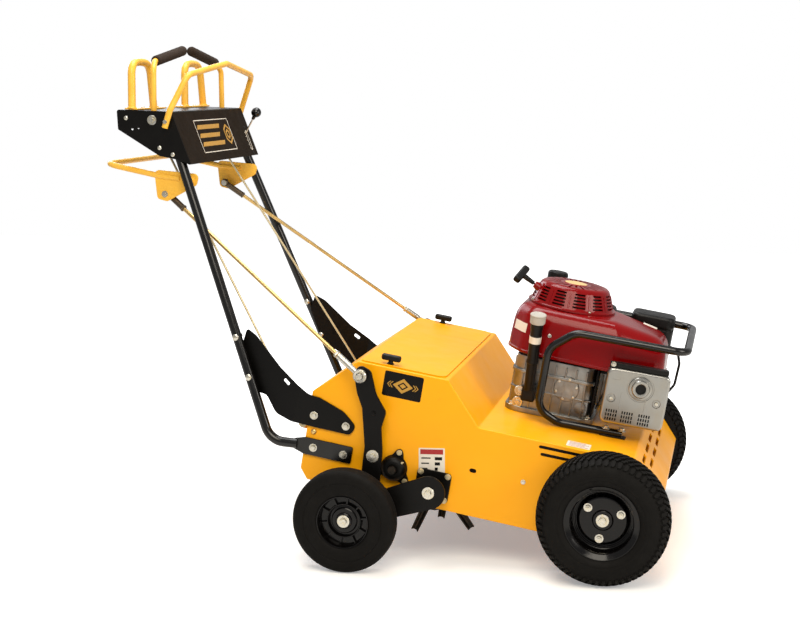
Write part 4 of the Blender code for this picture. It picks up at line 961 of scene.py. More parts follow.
@dataclass
class HoodAndDeck:
    """The folded yellow body with its hood, deck and nose, and the lid that closes the hood."""

    half_width: float = 0.368
    sheet: float = 0.004
    lid_half: float = 0.355
    lid_rear: float = -0.668
    lid_front: float = -0.45
    hood_z: float = 0.402
    deck_z: float = 0.3
    knob_x: float = -0.596
    knob_y: float = 0.339

    def outline(self) -> list[Point]:
        """Gives the folded side outline, clockwise in X and Z."""
        top = [(-0.673, self.hood_z), (-0.44, self.hood_z), (-0.345, self.deck_z), (0.045, self.deck_z)]
        return mm((-756, 72), (-777, 98), (-777, 302)) + top + mm((130, 205), (130, 95), (105, 72))

    def shell(self) -> None:
        """Builds the body with its openings, and dark sheets of painted shade behind its two long side slots.
        """
        half, skin = self.half_width, self.sheet
        bends = [0.006, 0.01, 0.01, 0.008, 0.008, 0.007, 0.012, 0.012, 0.01, 0.006]
        outer = prism(loop(self.outline(), bends, 4), -half, half, 0.003, 3)
        outer.transform(UPRIGHT)
        tools = prism(loop(inset(self.outline(), skin), 0.005, 2), -half + skin, half - skin)
        tools.transform(UPRIGHT)
        join(tools, block((-0.7475, -half + skin, 0.05), (0.0985, half - skin, 0.0785)))
        join(tools, prism(tile(-0.64, -0.31, -0.48, 0.31, 0.02, 5), self.hood_z - 0.02, self.hood_z + 0.02))
        for x, z, radius in mm((0, 162.5, 13.5), (-433, 123, 22), (-620, 225, 8.8), (-590, 180, 6.4)):
            join(tools, across(x, z, -0.4, 0.4, radius))
        join(tools, across(-0.537, 0.153, -0.4, -0.3, 0.014))
        join(tools, rod((-0.205, 0, 0.25), (-0.205, 0, 0.35), 0.028))
        for side in Side:
            for opening in mm((-130, 286, 120, 8.5), (-138, 268, 90, 8.5), (-340, 189, 18, 11.5)):
                join(tools, side_plate(slot(*opening), side, 0.35, 0.39, 0))
        for row, x in enumerate((0.064, 0.083)):
            z = self.deck_z - (x - 0.045) * (self.deck_z - 0.205) / 0.085
            for i in range(-2, 3 - row):
                place = at(x, 0.118 * i + 0.059 * row, z) @ spin(48, "Y")
                join(tools, prism(slot(0, 0, 0.084, 0.011, 90), -0.02, 0.02), place)
        bench = Bench().add(carve(outer, tools))
        for side in Side:
            lug = tile(-0.812, 0.19, -0.775, 0.218, [0.012, 0.012, 0, 0], 4)
            bench.on(side).plate(lug, 0.3175, 0.3215, 0.0008)
        bench.piece("body_skin", YELLOW_POWDER_COAT, "body_shell", sharp=30)
        # Painted shade: dark strips just inside each side wall, behind its two long slots, for the shadow
        # inside the hollow body that shows through them.
        slot_shade = Bench()
        for side in Side:
            strip = tile(-0.196, 0.258, -0.064, 0.294, 0.004)
            slot_shade.on(side).plate(strip, half - skin - 0.0012, half - skin - 0.0002, 0.0003)
        slot_shade.piece("slot_liners", BLACK_POWDER_COAT)

    def lid(self) -> None:
        """Builds the lid and its two T knobs."""
        low = self.hood_z + 0.0004
        bends = [0.005, 0.005, 0.025, 0.025]
        outline = tile(self.lid_rear, -self.lid_half, self.lid_front, self.lid_half, bends, 5)
        holes = [circle(self.knob_x, side.value * self.knob_y, 0.005) for side in Side]
        cover = Bench().add(punched(outline, holes, low, low + 0.003, 0.0009))
        cover.piece("hood_cover", YELLOW_POWDER_COAT, "hood_lid", "lid", 30)
        stem = mm((0, 0), (9, 0), (9.2, 1.5), (7.4, 2.5), (6.2, 6), (6.6, 12.5), (0, 12.5))
        for side in Side:
            place = aim((self.knob_x, side.value * self.knob_y, low + 0.0034))
            bar = block((-0.0248, -0.0085, 0.008), (0.0248, 0.0085, 0.0238), 0.005, 3)
            bench = Bench(side).add(lathe(stem, 32), place).add(bar, place)
            for x in (-0.017, 0.017):
                bench.add(block((x - 0.0012, -0.0088, 0.0105), (x + 0.0012, 0.0088, 0.0225), 0.0006), place)
            bench.piece("knob_bar", BLACK_ABS, "lid_knob", "knob")

    def labels(self) -> None:
        """Lays the plates of the right side, which carry plain bars and shapes and no words."""
        skin = self.half_width
        plate = tile(-0.6, 0.331, -0.5, 0.3945, 0.004)
        Bench().plate(plate, skin - 0.0002, skin + 0.0003, 0).piece("hood_plate", BLACK_VINYL)
        near, far = skin + 0.0001, skin + 0.0006
        lozenge = mm((-576, 362.8), (-550, 382), (-524, 362.8), (-550, 343.6))
        gap = mm((-564, 362.8), (-550, 373), (-536, 362.8), (-550, 352.6))
        core = mm((-558.5, 362.8), (-550, 369), (-541.5, 362.8), (-550, 356.6))
        bench = Bench().add(
            side_plate(lozenge, Side.RIGHT, near, far, 0.0001, [gap])
        ).plate(core, near, far, 0)
        arrow = mm((0, 362.8), (-7, 370.5), (-4.5, 370.5), (2.5, 362.8), (-4.5, 355.1), (-7, 355.1))
        for end in (-1, 1):
            for reach in (0.032, 0.038):
                bench.plate([(-0.55 + end * (reach + x), z) for x, z in arrow], near, far, 0)
        bench.piece("hood_plate_motif", GOLD_VINYL)
        corners = mm((-484, 217), (-419, 230), (-407, 162), (-473, 151))
        film = loop(corners, 0.002, 2)
        Bench().plate(film, skin - 0.0002, skin + 0.0002, 0).piece("side_plate_pale", PALE_VINYL)
        origin, far_top, _, low_near = [Vector(corner) for corner in corners]
        right, down = far_top - origin, low_near - origin
        bars = {RED_VINYL: [(0.06, 0.05, 0.94, 0.24)], BLACK_VINYL: []}
        for row in range(3):
            bars[BLACK_VINYL].append((0.62, 0.34 + 0.2 * row, 0.9 - 0.08 * row, 0.46 + 0.2 * row))
            bars[BLACK_VINYL].append((0.1, 0.36 + 0.2 * row, 0.46 - 0.06 * row, 0.41 + 0.2 * row))
        for finish, shares in bars.items():
            bench = Bench()
            for box in shares:
                bench.plate([origin + right * p.x + down * p.y for p in tile(*box)], skin, skin + 0.0003, 0)
            bench.piece(f"side_plate_{finish.name.split()[0]}", finish)
        place = at(-0.0975, -0.326, self.deck_z)
        film = block((-0.0295, -0.026, -0.0002), (0.0295, 0.026, 0.0003))
        Bench().add(film, place).piece("deck_plate_pale", PALE_VINYL)
        bench = Bench()
        for i, y in enumerate((-0.018, -0.006, 0.006, 0.018)):
            bench.add(
                block((-0.024, y - 0.0013, 0.0002), (0.024 - 0.008 * (i % 2), y + 0.0013, 0.0005)), place,
            )
        bench.piece("deck_plate_lines", RED_VINYL)

    def build(self) -> None:
        """Builds the whole body, with the small bolts of its sides."""
        self.shell()
        self.lid()
        self.labels()
        bench = Bench()
        for side in Side:
            bench.on(side).bolt(-0.212, self.half_width, 0.189, 0.008, 0.0035, 0.0062, 0.001)
        bench.piece("side_bolts", BRIGHT_ZINC)


# The wheels.


@dataclass
class FrontWheels:
    """Pneumatic front wheels with a turf tread on pressed steel rims, and their axle."""

    radius: float = FRONT_RADIUS
    half: float = 0.059
    middle: float = 0.433
    lug_height: float = 0.0052
    lugs_round: int = 58
    row_pitch: float = 0.015
    tread_radius: float = 0.157
    nut_circle: float = 0.0465
    valve_turn: float = 118

    def carcass(self) -> list[tuple[float, ...]]:
        """Gives half of the tyre's outer curve from its crown, as (across, radius)."""
        tread = mm((0, 157.3), (12, 157.1), (22, 156.3), (31, 154.5), (39, 151.2), (46, 146.3), (51.5, 140.2))
        wall = mm((55.3, 133.5), (57.7, 126.2), (58.8, 118.5), (58.6, 111), (57.2, 104.5), (54.8, 98.5))
        return tread + wall + mm((52, 94.5), (49.6, 92.1))

    def on_tread(self, arc: float, height: float) -> tuple[float, float]:
        """Finds a point over the tyre's curve.

        Args:
            arc: the distance along the curve from the crown, negative on the inner side.
            height: the distance out from the curve.

        Returns:
            The point as (across, radius).
        """
        curve = [Vector(p) for p in self.carcass()]
        left = abs(arc)
        for first, second in zip(curve, curve[1:]):
            step = second - first
            if left <= step.length or second is curve[-1]:
                break
            left -= step.length
        along = step.normalized()
        place = first + along * left + Vector((-along.y, along.x)) * height
        return math.copysign(place.x, arc) if arc else 0, place.y

    def tread_block(self, mesh: BMesh, outline: Outline, arc: float, turn: float, mirror: int = 1) -> None:
        """Raises one block of the tread, its foot wider than its top.

        Args:
            mesh: where it is added.
            outline: its outline as (round, across).
            arc: the place of its middle across the tread.
            turn: the place of its middle round the tyre, in degrees.
            mirror: -1 to turn its outline over.
        """
        layers = []
        for height, grow in ((-0.0006, 1.1), (self.lug_height, 0.96)):
            layer = []
            for u, v in outline:
                wide, radius = self.on_tread(arc + v * grow, height)
                swing = math.degrees(mirror * u * grow / self.tread_radius)
                layer.append(mesh.verts.new((*polar(min(radius, self.radius), turn + swing), wide)))
            layers.append(layer)
        stitch(mesh, layers)

    def tyre(self) -> BMesh:
        """Builds the tyre round Z, its valve side up.

        Returns:
            Its closed mesh.
        """
        crown, *outer = self.carcass()
        half = outer + mm((48, 91.9), (40, 78.6))
        mesh = lathe([(r, w) for w, r in half] + [(r, -w) for w, r in reversed(half)] + [(crown[1], 0)], 96)
        for radius, width in mm((116.5, 58.9), (106, 57.8)):
            for sign in (-1, 1):
                rib = mm((-1.2, -1), (-0.7, 0.4), (0.7, 0.4), (1.2, -1))
                join(mesh, lathe([(radius + r, sign * min(width + h, self.half)) for r, h in rib], 96))
        half_zed = mm((-6.4, -6.4), (0.6, -6.4), (2.2, -1.2), (6.4, 0.4))
        zed = half_zed + [(-x, -y) for x, y in half_zed]
        shoulder = mm((-5.2, -7.8), (3.4, -7.8), (5.2, -3), (5.2, 8.5), (-2.4, 8.5), (-5.2, 3.5))
        pitch = 360 / self.lugs_round
        tread = bmesh.new()
        for i in range(self.lugs_round):
            for row in range(-2, 3):
                self.tread_block(tread, zed, row * self.row_pitch, pitch * (i + 0.5 * (row % 2)))
            for sign in (-1, 1):
                self.tread_block(tread, shoulder, sign * 0.0468, pitch * (i + 0.5), sign)
        return join(mesh, outward(tread))

    def rim(self) -> BMesh:
        """Builds the rim round Z with its hub, disc, well and flanges.

        Returns:
            Its closed mesh.
        """
        face = mm((12.9, 19.6), (22.5, 19.6), (24.5, 18), (26, 16), (53, 16), (56.5, 14.8), (58.2, 12))
        well = mm((59, 3), (60.5, 1.2), (62.5, 2.2), (64, 5), (66, 5.8), (67.2, 9), (69.2, 9.8), (70.2, 13.5))
        well += mm((72.2, 14.5), (73.2, 20), (74.2, 33), (75.2, 39.5), (77.2, 42.5))
        flange = mm(
            (79, 43.2), (80.6, 44.8), (86, 48.6), (89.3, 50.4), (90.8, 50.4), (91.5, 49.4), (91.2, 48.4),
        )
        flange += mm((88, 47), (80, 42), (78, 39.6))
        back = mm((75.2, -41), (74.2, -33), (73.5, 4), (60, -3), (24, 10), (24, -53), (12.9, -53))
        return lathe(face + well + flange + [(r, -h) for r, h in reversed(flange)] + back, 72)

    def dress(self, side: Side) -> None:
        """Builds the wheel of one side.

        Args:
            side: the machine's right or left.
        """
        place = outboard(0, self.middle, self.radius, side)
        body = "front_wheel"
        Bench(side).add(self.tyre(), place).piece("turf_tyre", TYRE_RUBBER, "front_tyre", body, 30)
        Bench(side).add(self.rim(), place).piece("wheel_disc", WHEEL_ENAMEL, "front_rim", body, 28)
        nuts = Bench(side)
        for turn in (30, 150, 270):
            spot = polar(self.nut_circle, turn)
            nuts.add(hex_bolt(0.0125, 0.006, 0.0108, 0.0016), place @ aim((*spot, 0.0159), roll=turn))
            nuts.add(rod((*spot, 0.02), (*spot, 0.0262), 0.0036, 20, 0.0006), place)
        nuts.piece("wheel_nuts", BRIGHT_ZINC, "", body)
        lean = Vector((*polar(-0.25, self.valve_turn), 1)).normalized()
        foot = Vector((*polar(0.0865, self.valve_turn), 0.046)) - lean * 0.003
        stem = lathe(
            mm((0, 0), (4.8, 0), (4.6, 4), (3.2, 6), (3, 11), (3.4, 11.2), (3.4, 12.8), (0, 12.8)), 24,
        )
        Bench(side).add(stem, place @ aim(foot, lean)).piece("valve_stem", BLACK_ABS, "", body)

    def build(self) -> None:
        """Builds both front wheels, and the axle with a washer and a bolt on each end."""
        for side in Side:
            self.dress(side)
        reach = self.middle + 0.022
        bench = Bench().add(across(0, self.radius, -reach, reach, 0.0125, 32))
        for side in Side:
            bench.on(side).bolt(0, self.middle + 0.02, self.radius, 0.0165, 0.0065, 0.016, 0.0026)
        bench.piece("wheel_axle", BRIGHT_ZINC, "front_axle")


@dataclass
class RearWheels:
    """Smooth-tyred lift wheels on ribbed hubs."""

    x: float
    z: float
    rim_radius: float = 0.0667
    half: float = 0.031
    middle: float = 0.475
    ribs: int = 10

    def tyre(self) -> BMesh:
        """Builds the smooth tyre round Z.

        Returns:
            Its closed mesh.
        """
        half = self.half
        outer = [(self.rim_radius + 0.0004, half - 0.004), (0.0705, half - 0.0015), (0.076, half)]
        outer += [(0.0975, half), (0.0985, half - 0.0009), (0.0998, half - 0.0009), (0.1008, half)]
        outer += mm((112, 30.7), (119.5, 29.2), (125, 25.5), (128.3, 20.5), (129.7, 14.5), (130, 8))
        return lathe(outer + [(r, -h) for r, h in reversed(outer)], 96)

    def rim(self) -> BMesh:
        """Builds the hub, dish, ribs and barrel round Z.

        Returns:
            Its closed mesh.
        """
        half, rim = self.half, self.rim_radius
        ring = mm((8.4, 14), (18.5, 14), (20, 12.8), (20.8, 8.5), (30, 8), (32, 6.6), (33, 3), (38.5, 2.2))
        ring += mm((40, 9), (40.8, 10), (42.4, 10), (43.2, 9), (44.2, 0.5), (59, 1.5), (61, 6))
        ring += [
            (0.0622, half - 0.006), (0.0635, half - 0.003), (0.0655, half - 0.0025), (rim, half - 0.0045),
        ]
        ring += [(rim, -half + 0.0045), (0.0655, -half + 0.0025), (0.0628, -half + 0.004), (0.062, -0.0055)]
        ring += [(0.022, -0.005), (0.02, -half), (0.0084, -half)]
        mesh = lathe(ring, 64)
        for i in range(self.ribs):
            rib = block((0.0425, -0.0022, 0), (0.0625, 0.0022, 0.0086), 0.0009)
            join(mesh, rib, spin(360 * (i + 0.5) / self.ribs))
        return mesh

    def build(self) -> None:
        """Builds both rear wheels."""
        for side in Side:
            place = outboard(self.x, self.middle, self.z, side)
            tyre, hub = Bench(side).add(self.tyre(), place), Bench(side).add(self.rim(), place)
            tyre.piece("smooth_tyre", TYRE_RUBBER, "rear_tyre", "rear_wheel", 30)
            hub.piece("ribbed_hub", WHEEL_ENAMEL, "rear_rim", "rear_wheel", 28)


# The lift linkage.


@dataclass
class LiftLinkage:
    """The bail at the handle, the long rods, the upright levers and the arms of the rear wheels."""

    wheel: Vector
    rotor: tuple[float, float] = (-0.433, 0.123)
    arm_y: float = 0.416
    lever_y: float = 0.4
    plate: float = 0.008
    lever_pivot: tuple[float, float] = (-0.59, 0.18)
    lever_top: tuple[float, float] = (-0.652, 0.377)
    rod_low_y: float = 0.415
    rod_top: tuple[float, float, float] = (-1.281, 0.227, 0.706)
    bail_pivot: tuple[float, float] = (-1.217, 0.753)
    bail_half: float = 0.246
    bail_rear: float = -1.455

    def arm(self, side: Side) -> None:
        """Builds one arm with its pivot pin, spacer, stub and wheel bolt.

        Args:
            side: the machine's right or left.
        """
        front, rear = Vector(self.rotor), self.wheel
        lean = math.degrees(math.atan2(rear.y - front.y, rear.x - front.x))
        outline = [front + polar(0.042, lean + 270 - 11.25 * i) for i in range(17)]
        outline += [rear + polar(0.034, lean + 90 - 180 * i / 14) for i in range(15)]
        near, far = self.arm_y - self.plate / 2, self.arm_y + self.plate / 2
        bench = Bench(side).plate(outline, near, far, 0.0012).pin(*rear, near, 0.4436, 0.016, 32, 0.0008)
        bench.piece("wheel_arm", BLACK_POWDER_COAT, "lift_arm", "arm")
        bench = Bench(side).pin(*rear, near, 0.4895, 0.008).pin(*front, 0.395, far + 0.001, 0.006, 24)
        bench.bolt(rear.x, 0.4896, rear.y, 0.0165, 0.0062, 0.0158, 0.0022)
        bench.bolt(front.x, far, front.y, 0.015, 0.006, 0.0155, 0.0022)
        bench.piece("arm_bolts", BRIGHT_ZINC, "", "arm")

    def lever(self, side: Side) -> None:
        """Builds one upright lever with its pivot bolt.

        Args:
            side: the machine's right or left.
        """
        corners = mm(
            (-660, 402), (-629, 392), (-607, 337), (-574, 297), (-580, 255), (-568, 200), (-560, 100),
        )
        corners += mm((-610, 100), (-614, 200), (-636, 295), (-655, 330), (-672, 380))
        outline = loop(corners, [0.02, 0.02, 0.05, 0.015, 0, 0.05, 0.015, 0.015, 0.05, 0, 0, 0.02], 5)
        near, far = self.lever_y - self.plate / 2, self.lever_y + self.plate / 2
        x, z = self.lever_pivot
        bench = Bench(side).plate(outline, near, far, 0.0012).pin(
            x, z, 0.3686, near + 0.001, 0.013, 32, 0.0006,
        )
        bench.bolt(-0.605, far, 0.288, 0.0095, 0.004)
        bench.piece("upright_lever", BLACK_POWDER_COAT, "lift_lever", "lever")
        bench = Bench(side).pin(x, z, 0.357, far, 0.006, 24).bolt(x, far, z, 0.015, 0.0042, 0.0158, 0.0018)
        bench.piece("lever_bolt", BRIGHT_ZINC, "", "lever")

    def long_rod(self, side: Side) -> None:
        """Builds one long rod with its rod end, barrel nut and top clevis.

        Args:
            side: the machine's right or left.
        """
        top = Vector((self.rod_top[0], side.value * self.rod_top[1], self.rod_top[2]))
        low = Vector((self.lever_top[0], side.value * self.rod_low_y, self.lever_top[1]))
        along = (low - top).normalized()
        bench = Bench(side).add(rod(top + along * 0.06, low - along * 0.06, 0.005))
        threads = [low - along * (0.118 - 0.0016 * i) for i in range(26)]
        bench.add(pipe(threads, [0.0052 if i % 2 else 0.0046 for i in range(26)], 20))
        bench.piece("long_rod", YELLOW_ZINC, "lift_rod", "rod")
        hexagon = circle(0, 0, 0.0092, 6)
        shank = Bench(side).add(rod(low - along * 0.078, low - along * 0.034, 0.0085, 32, 0.0012))
        shank.add(prism(hexagon, 0, 0.007, 0.0008), aim(low - along * 0.087, along))
        shank.add(rod(low - along * 0.036, low - along * 0.013, 0.0075))
        eye = lathe(mm((9.5, -5.5), (15, -6), (17, -4.2), (17, 4.2), (15, 6), (9.5, 5.5)), 40)
        race = [(0.01 * math.cos(t), 0.01 * math.sin(t)) for t in (-0.69, -0.35, 0, 0.35, 0.69)]
        race = lathe([(0.0001, -0.0064), *race, (0.0001, 0.0064)], 32)
        place = outboard(low.x, self.rod_low_y, low.z, side)
        shank.add(eye, place).add(race, place).add(hex_bolt(0.015, 0.0052), place @ at(0, 0, 0.006))
        shank.piece("rod_end", BRIGHT_ZINC, "", "rod")
        clevis = Bench(side).add(rod(top + along * 0.009, top + along * 0.06, 0.008, 28, 0.0012))
        clevis.add(prism(hexagon, 0, 0.006, 0.0008), aim(top + along * 0.06, along))
        clevis.out(*self.rod_top, lathe(collar(0.0044, 0.011, -0.005, 0.005, 0.001), 36))
        clevis.piece("rod_clevis", PHOSPHATED_STEEL, "", "rod")

    def bail(self) -> None:
        """Builds the bail with its two brackets, bosses and pins."""
        half, (x, z), (px, py, pz) = self.bail_half, self.bail_pivot, self.rod_top
        limb = [(x - 0.03, half, z), (-1.306, half, 0.75), (self.bail_rear, half, 0.755)]
        corners = [(x, -y, z) for x, y, z in limb] + limb[::-1]
        bench = Bench().add(pipe(rounded(corners, [0, 0.08, 0.035, 0.035, 0.08, 0], 8), 0.0077, 20))
        plate = mm((-1320, 764), (-1196, 774), (-1199, 744), (-1272, 688), (-1300, 690))
        pins = Bench()
        for side in Side:
            bench.on(side).plate(loop(plate, 0.012, 5), half - 0.003, half + 0.003)
            bench.pin(x, z, half, 0.2575, 0.01, 28, 0.0006)
            pins.on(side).pin(px, pz, half, py - 0.0075, 0.004, 20)
            pins.pin(px, pz, py - 0.0055, py - 0.0095, 0.008, 24, 0.001)
            pins.bolt(px, half + 0.003, pz, 0.011, 0.004, 0.0085, 0.0014).bolt(x, 0.257, z, 0.01, 0.0026)
        bench.piece("bail_bar", LIT_LOOP_POWDER_COAT, "lift_bail", "bail")
        pins.piece("bail_pins", BRIGHT_ZINC, "", "bail")

    def build(self) -> None:
        """Builds both sides and the bail."""
        for side in Side:
            self.arm(side)
            self.lever(side)
            self.long_rod(side)
        self.bail()


# The handle.


@dataclass
class HandleFrame:
    """The two bent tubes, their flattened straps and the gusset plates that brace them."""

    tube: float = 0.0125
    body_half: float = 0.3684
    plate: float = 0.005
    knee: tuple[float, float, float] = (-0.866, 0.371, 0.153)
    top: tuple[float, float, float] = (-1.264, 0.258, 0.835)
    bend_x: float = -0.815
    bend_width: float = 0.006
    bend: float = 0.3

    def tube_and_strap(self, side: Side) -> None:
        """Builds one tube with its strap.

        Args:
            side: the machine's right or left.
        """
        near, far = self.body_half, self.body_half + self.plate
        points = [
            (x, side.value * y, z) for x, y, z in ((-0.794, (near + far) / 2, 0.16), self.knee, self.top)
        ]
        strap = mm((-804, 147), (-804, 173), (-775, 182), (-649, 182), (-649, 138), (-775, 138))
        bench = Bench(side).add(pipe(rounded(points, [0, 0.085, 0], 16), self.tube, 28))
        bench.plate(loop(strap, 0.005, 4), near, far).piece("bent_tube", TUBE_ENAMEL, "handle_tube")

    def gusset(self, side: Side) -> None:
        """Builds one gusset, flat on the body and bent in towards its tube.

        Args:
            side: the machine's right or left.
        """
        corners = mm(
            (-985, 416), (-955, 404), (-872, 341), (-785, 292), (-755, 290), (-687, 267), (-650, 236),
        )
        corners += mm(
            (-662, 212), (-745, 212), (-822, 214), (-866, 223), (-900, 262), (-935, 262), (-992, 372),
        )
        bends = [0.006, 0.03, 0.03, 0.04, 0.03, 0.05, 0.015, 0.01, 0, 0.02, 0.03, 0.02, 0.01, 0.01]
        hole = loop(mm((-858, 311), (-854, 319), (-838, 309), (-842, 301)), 0.003)
        near, far = self.body_half, self.body_half + self.plate
        flat = side_plate(loop(corners, bends, 5), side, near, far, 0.0008, [hole])
        for x in (self.bend_x, self.bend_x + self.bend_width):
            everything = flat.verts[:] + flat.edges[:] + flat.faces[:]
            bmesh.ops.bisect_plane(flat, geom=everything, plane_co=(x, 0, 0), plane_no=(1, 0, 0))
        for vert in flat.verts:
            vert.co.y -= side.value * max(0, self.bend_x - vert.co.x) * self.bend
        Bench(side).add(flat).piece("brace", BLACK_POWDER_COAT, "gusset")

    def bolts(self, side: Side) -> None:
        """Sets the bolts of one side's strap, gusset and tube.

        Args:
            side: the machine's right or left.
        """
        bench = Bench(side)
        face = self.body_half + self.plate
        for x, z in mm((-751, 159), (-671, 158), (-762, 242), (-676, 232)):
            # Each head stands turned by its own angle, as a wrench leaves it.
            turned = Matrix.Rotation(x * 40, 4, "Z")
            bench.add(hex_bolt(0.013, 0.0055, 0.0105, 0.0016), outboard(x, face, z, side) @ turned)
        other = Side(-side.value)
        for x, z, outer, inner in mm((-1005, 391, 343.8, 311.4), (-951, 299, 358.6, 327.6)):
            bench.out(x, outer, z, round_bolt(0.0088, 0.005))
            bench.add(round_bolt(0.008, 0.0045), outboard(x, -inner, z, other))
        bench.piece("brace_bolts", BRIGHT_ZINC)
        dome_head = round_bolt(0.0072, 0.0048)
        Bench(side).out(-0.757, self.body_half, 0.1995, dome_head).piece("dome_bolt", YELLOW_ZINC)

    def build(self) -> None:
        """Builds both sides."""
        for side in Side:
            self.tube_and_strap(side)
            self.gusset(side)
            self.bolts(side)


# The console.


@dataclass
class Console:
    """The bent sheet console with its loops, squeeze levers, grips, thin rods and throttle."""

    half: float = 0.2815
    sheet: float = 0.003
    panel_top: tuple[float, float] = (-1.283, 0.923)
    panel_low: tuple[float, float] = (-1.208, 0.796)
    rear_top: tuple[float, float] = (-1.431, 0.903)
    rear_low: tuple[float, float] = (-1.42, 0.853)
    lever: tuple[float, float] = (-1.331, 0.89)
    lever_y: float = 0.266
    lever_arm: float = 0.045
    rod_y: float = 0.2035
    rod_end: tuple[float, float, float] = (-0.797, 0.33, 0.204)
    throttle_pivot: tuple[float, float, float] = (-1.262, 0.2435, 0.81)
    throttle_knob: tuple[float, float, float] = (-1.223, 0.2435, 0.921)

    def on_panel(self, share: float, y: float = 0) -> Matrix:
        """Gives the matrix of a place on the panel, Z out of it and X down it.

        Args:
            share: the share of the way from its top to its foot.
            y: the distance to the left.

        Returns:
            The matrix.
        """
        place = Vector(self.panel_top).lerp(self.panel_low, share)
        fall = Vector(self.panel_low) - Vector(self.panel_top)
        return at(place.x, y, place.y) @ spin(90 - math.degrees(math.atan2(fall.x, -fall.y)), "Y")

    def housing(self) -> None:
        """Builds the housing, open below, with its slots."""
        outline = [
            self.rear_top, self.panel_top, self.panel_low, (-1.247, 0.804), (-1.298, 0.805), self.rear_low,
        ]
        outer = prism(
            loop(outline, [0.006, 0.006, 0.003, 0.003, 0.004, 0.004], 4), -self.half, self.half, 0.0015,
        )
        outer.transform(UPRIGHT)
        inner = inset(outline, self.sheet)
        foot = mm((-1212.5, 796), (-1210, 780), (-1247, 780), (-1300, 790), (-1424, 830))
        tools = prism([inner[0], inner[1], *foot, inner[5]], -self.half + self.sheet, self.half - self.sheet)
        tools.transform(UPRIGHT)
        for side in Side:
            y = side.value * self.lever_y
            join(tools, block((-1.372, y - 0.008, 0.88), (-1.32, y + 0.008, 0.95)))
            for x, z in ((-1.381, 0.861), (-1.365, 0.867)):
                join(tools, across(x, z, side.value * 0.27, side.value * 0.29, 0.0035))
        gate = prism(slot(0, 0, 0.052, 0.008), -0.02, 0.02)
        bench = Bench().add(carve(outer, join(tools, gate, self.on_panel(0.665, self.throttle_pivot[1]))))
        for side in Side:
            bench.on(side).pin(-1.2552, 0.82, 0.2785, 0.2738, 0.006, 24)
        bench.piece("console_case", BLACK_POWDER_COAT, "console_housing", sharp=30)

    def panel(self) -> None:
        """Faces the front with textured paint, a plain framed plate with bars, and the throttle's dial."""
        length = math.dist(self.panel_top, self.panel_low)
        place = self.on_panel(0.5)
        x, y = length * 0.165, self.throttle_pivot[1]
        low, high = 0.0004, 0.0008
        face = tile(0.003 - length / 2, -0.279, length / 2 - 0.003, 0.279, 0.003)
        painted = punched(face, [slot(x, y, 0.054, 0.01)], -0.0002, 0.0005, 0.0002)
        Bench().add(painted, place).piece("panel_face", TEXTURED_PANEL)
        gold, pale = Bench(), Bench()
        for box in mm(
            (-46, -150, -43.8, 118), (43.8, -150, 46, 118), (-46, -150, 46, -147.8), (-46, 115.8, 46, 118),
        ):
            pale.add(block((*box[:2], low), (*box[2:], high)), place)
        for u, end in ((-0.026, 0.036), (-0.002, 0.018), (0.022, 0.036)):
            bar = [
                (u - 0.006, -0.13), (u - 0.006, end + 0.006), (u + 0.006, end - 0.006), (u + 0.006, -0.142),
            ]
            gold.add(prism(bar, low, high), place)
        for size, hole in ((0.03, 0.023), (0.015, 0.008)):
            ring = punched(circle(0, 0.086, size, 6), [circle(0, 0.086, hole, 6)], low, high, 0.0001)
            gold.add(ring, place)
        pale.piece("panel_frame", PALE_VINYL)
        gold.piece("panel_bars", GOLD_VINYL)
        marks = Bench()
        for i in range(5):
            tick = x - 0.024 + 0.012 * i
            marks.add(block((tick - 0.0007, y - 0.015, low), (tick + 0.0007, y - 0.009, high)), place)
        rim = punched(slot(x, y, 0.06, 0.015), [slot(x, y, 0.0545, 0.0105)], 0.0003, high, 0.0001)
        marks.add(rim, place).piece("throttle_dial", PALE_VINYL)
        screws = Bench()
        for share in (0.4, 0.93):
            screws.add(round_bolt(0.0042, 0.002), self.on_panel(share, y))
        screws.piece("panel_screws", BLACK_ABS)

    def bolts(self) -> None:
        """Sets the bolts of the console's two sides."""
        bench = Bench()
        for side in Side:
            bench.on(side).bolt(-1.331, self.half, 0.893, 0.013, 0.005, 0.0125, 0.0014)
            for x, z in ((-1.402, 0.886), (-1.262, 0.815), (-1.3, 0.826)):
                bench.out(x, self.half, z, round_bolt(0.0058, 0.0034))
        bench.piece("console_bolts", BRIGHT_ZINC)

    def loops(self) -> None:
        """Builds the two hand loops on their strips, and the tall loop."""
        foot = at(-1.394, 0, 0.911)
        lean = foot @ Matrix.Rotation(-math.atan2(0.02, 0.148), 4, "Y")
        strip = tile(-0.018, 0.07, 0.018, 0.2765, 0.004)
        weld_bead = mm((9.5, 1), (12.8, 2), (11.8, 4.5), (9.5, 6))
        for side in Side:
            sign = side.value
            points = mm((0, 118, 0), (-23, 131, 113), (-27, 193, 119), (-23, 255, 113), (0, 268, 0))
            line = rounded(
                [foot @ Vector((x, sign * y, z)) for x, y, z in points], [0, 0.035, 0.3, 0.035, 0], 10,
            )
            bench = Bench(side).add(pipe(line, 0.01, 24))
            bench.add(prism([(x, sign * y) for x, y in strip], -0.002, 0.002, 0.0008), lean)
            for y in (0.118, 0.268):
                bench.add(lathe(weld_bead, 24), lean @ at(0, sign * y))
            bench.piece("fixed_loop", LIT_LOOP_POWDER_COAT, "hand_loop")
            bolts = Bench(side)
            for y in (0.092, 0.193):
                bolts.add(round_bolt(0.0055, 0.0032), lean @ at(0, sign * y, 0.0019))
            bolts.piece("strip_bolts", BRIGHT_ZINC)
        limb = mm((-1290, 290.5, 880), (-1283, 290.5, 925), (-1258, 262, 1022))
        points = [(x, -y, z) for x, y, z in limb] + [(-1.249, 0, 1.055)] + limb[::-1]
        bench = Bench().add(pipe(rounded(points, [0, 0.05, 0.03, 0.06, 0.03, 0.05, 0], 8), 0.008, 24))
        bench.piece("tall_loop", LIT_LOOP_POWDER_COAT, "console_loop")
        bolts = Bench()
        for side in Side:
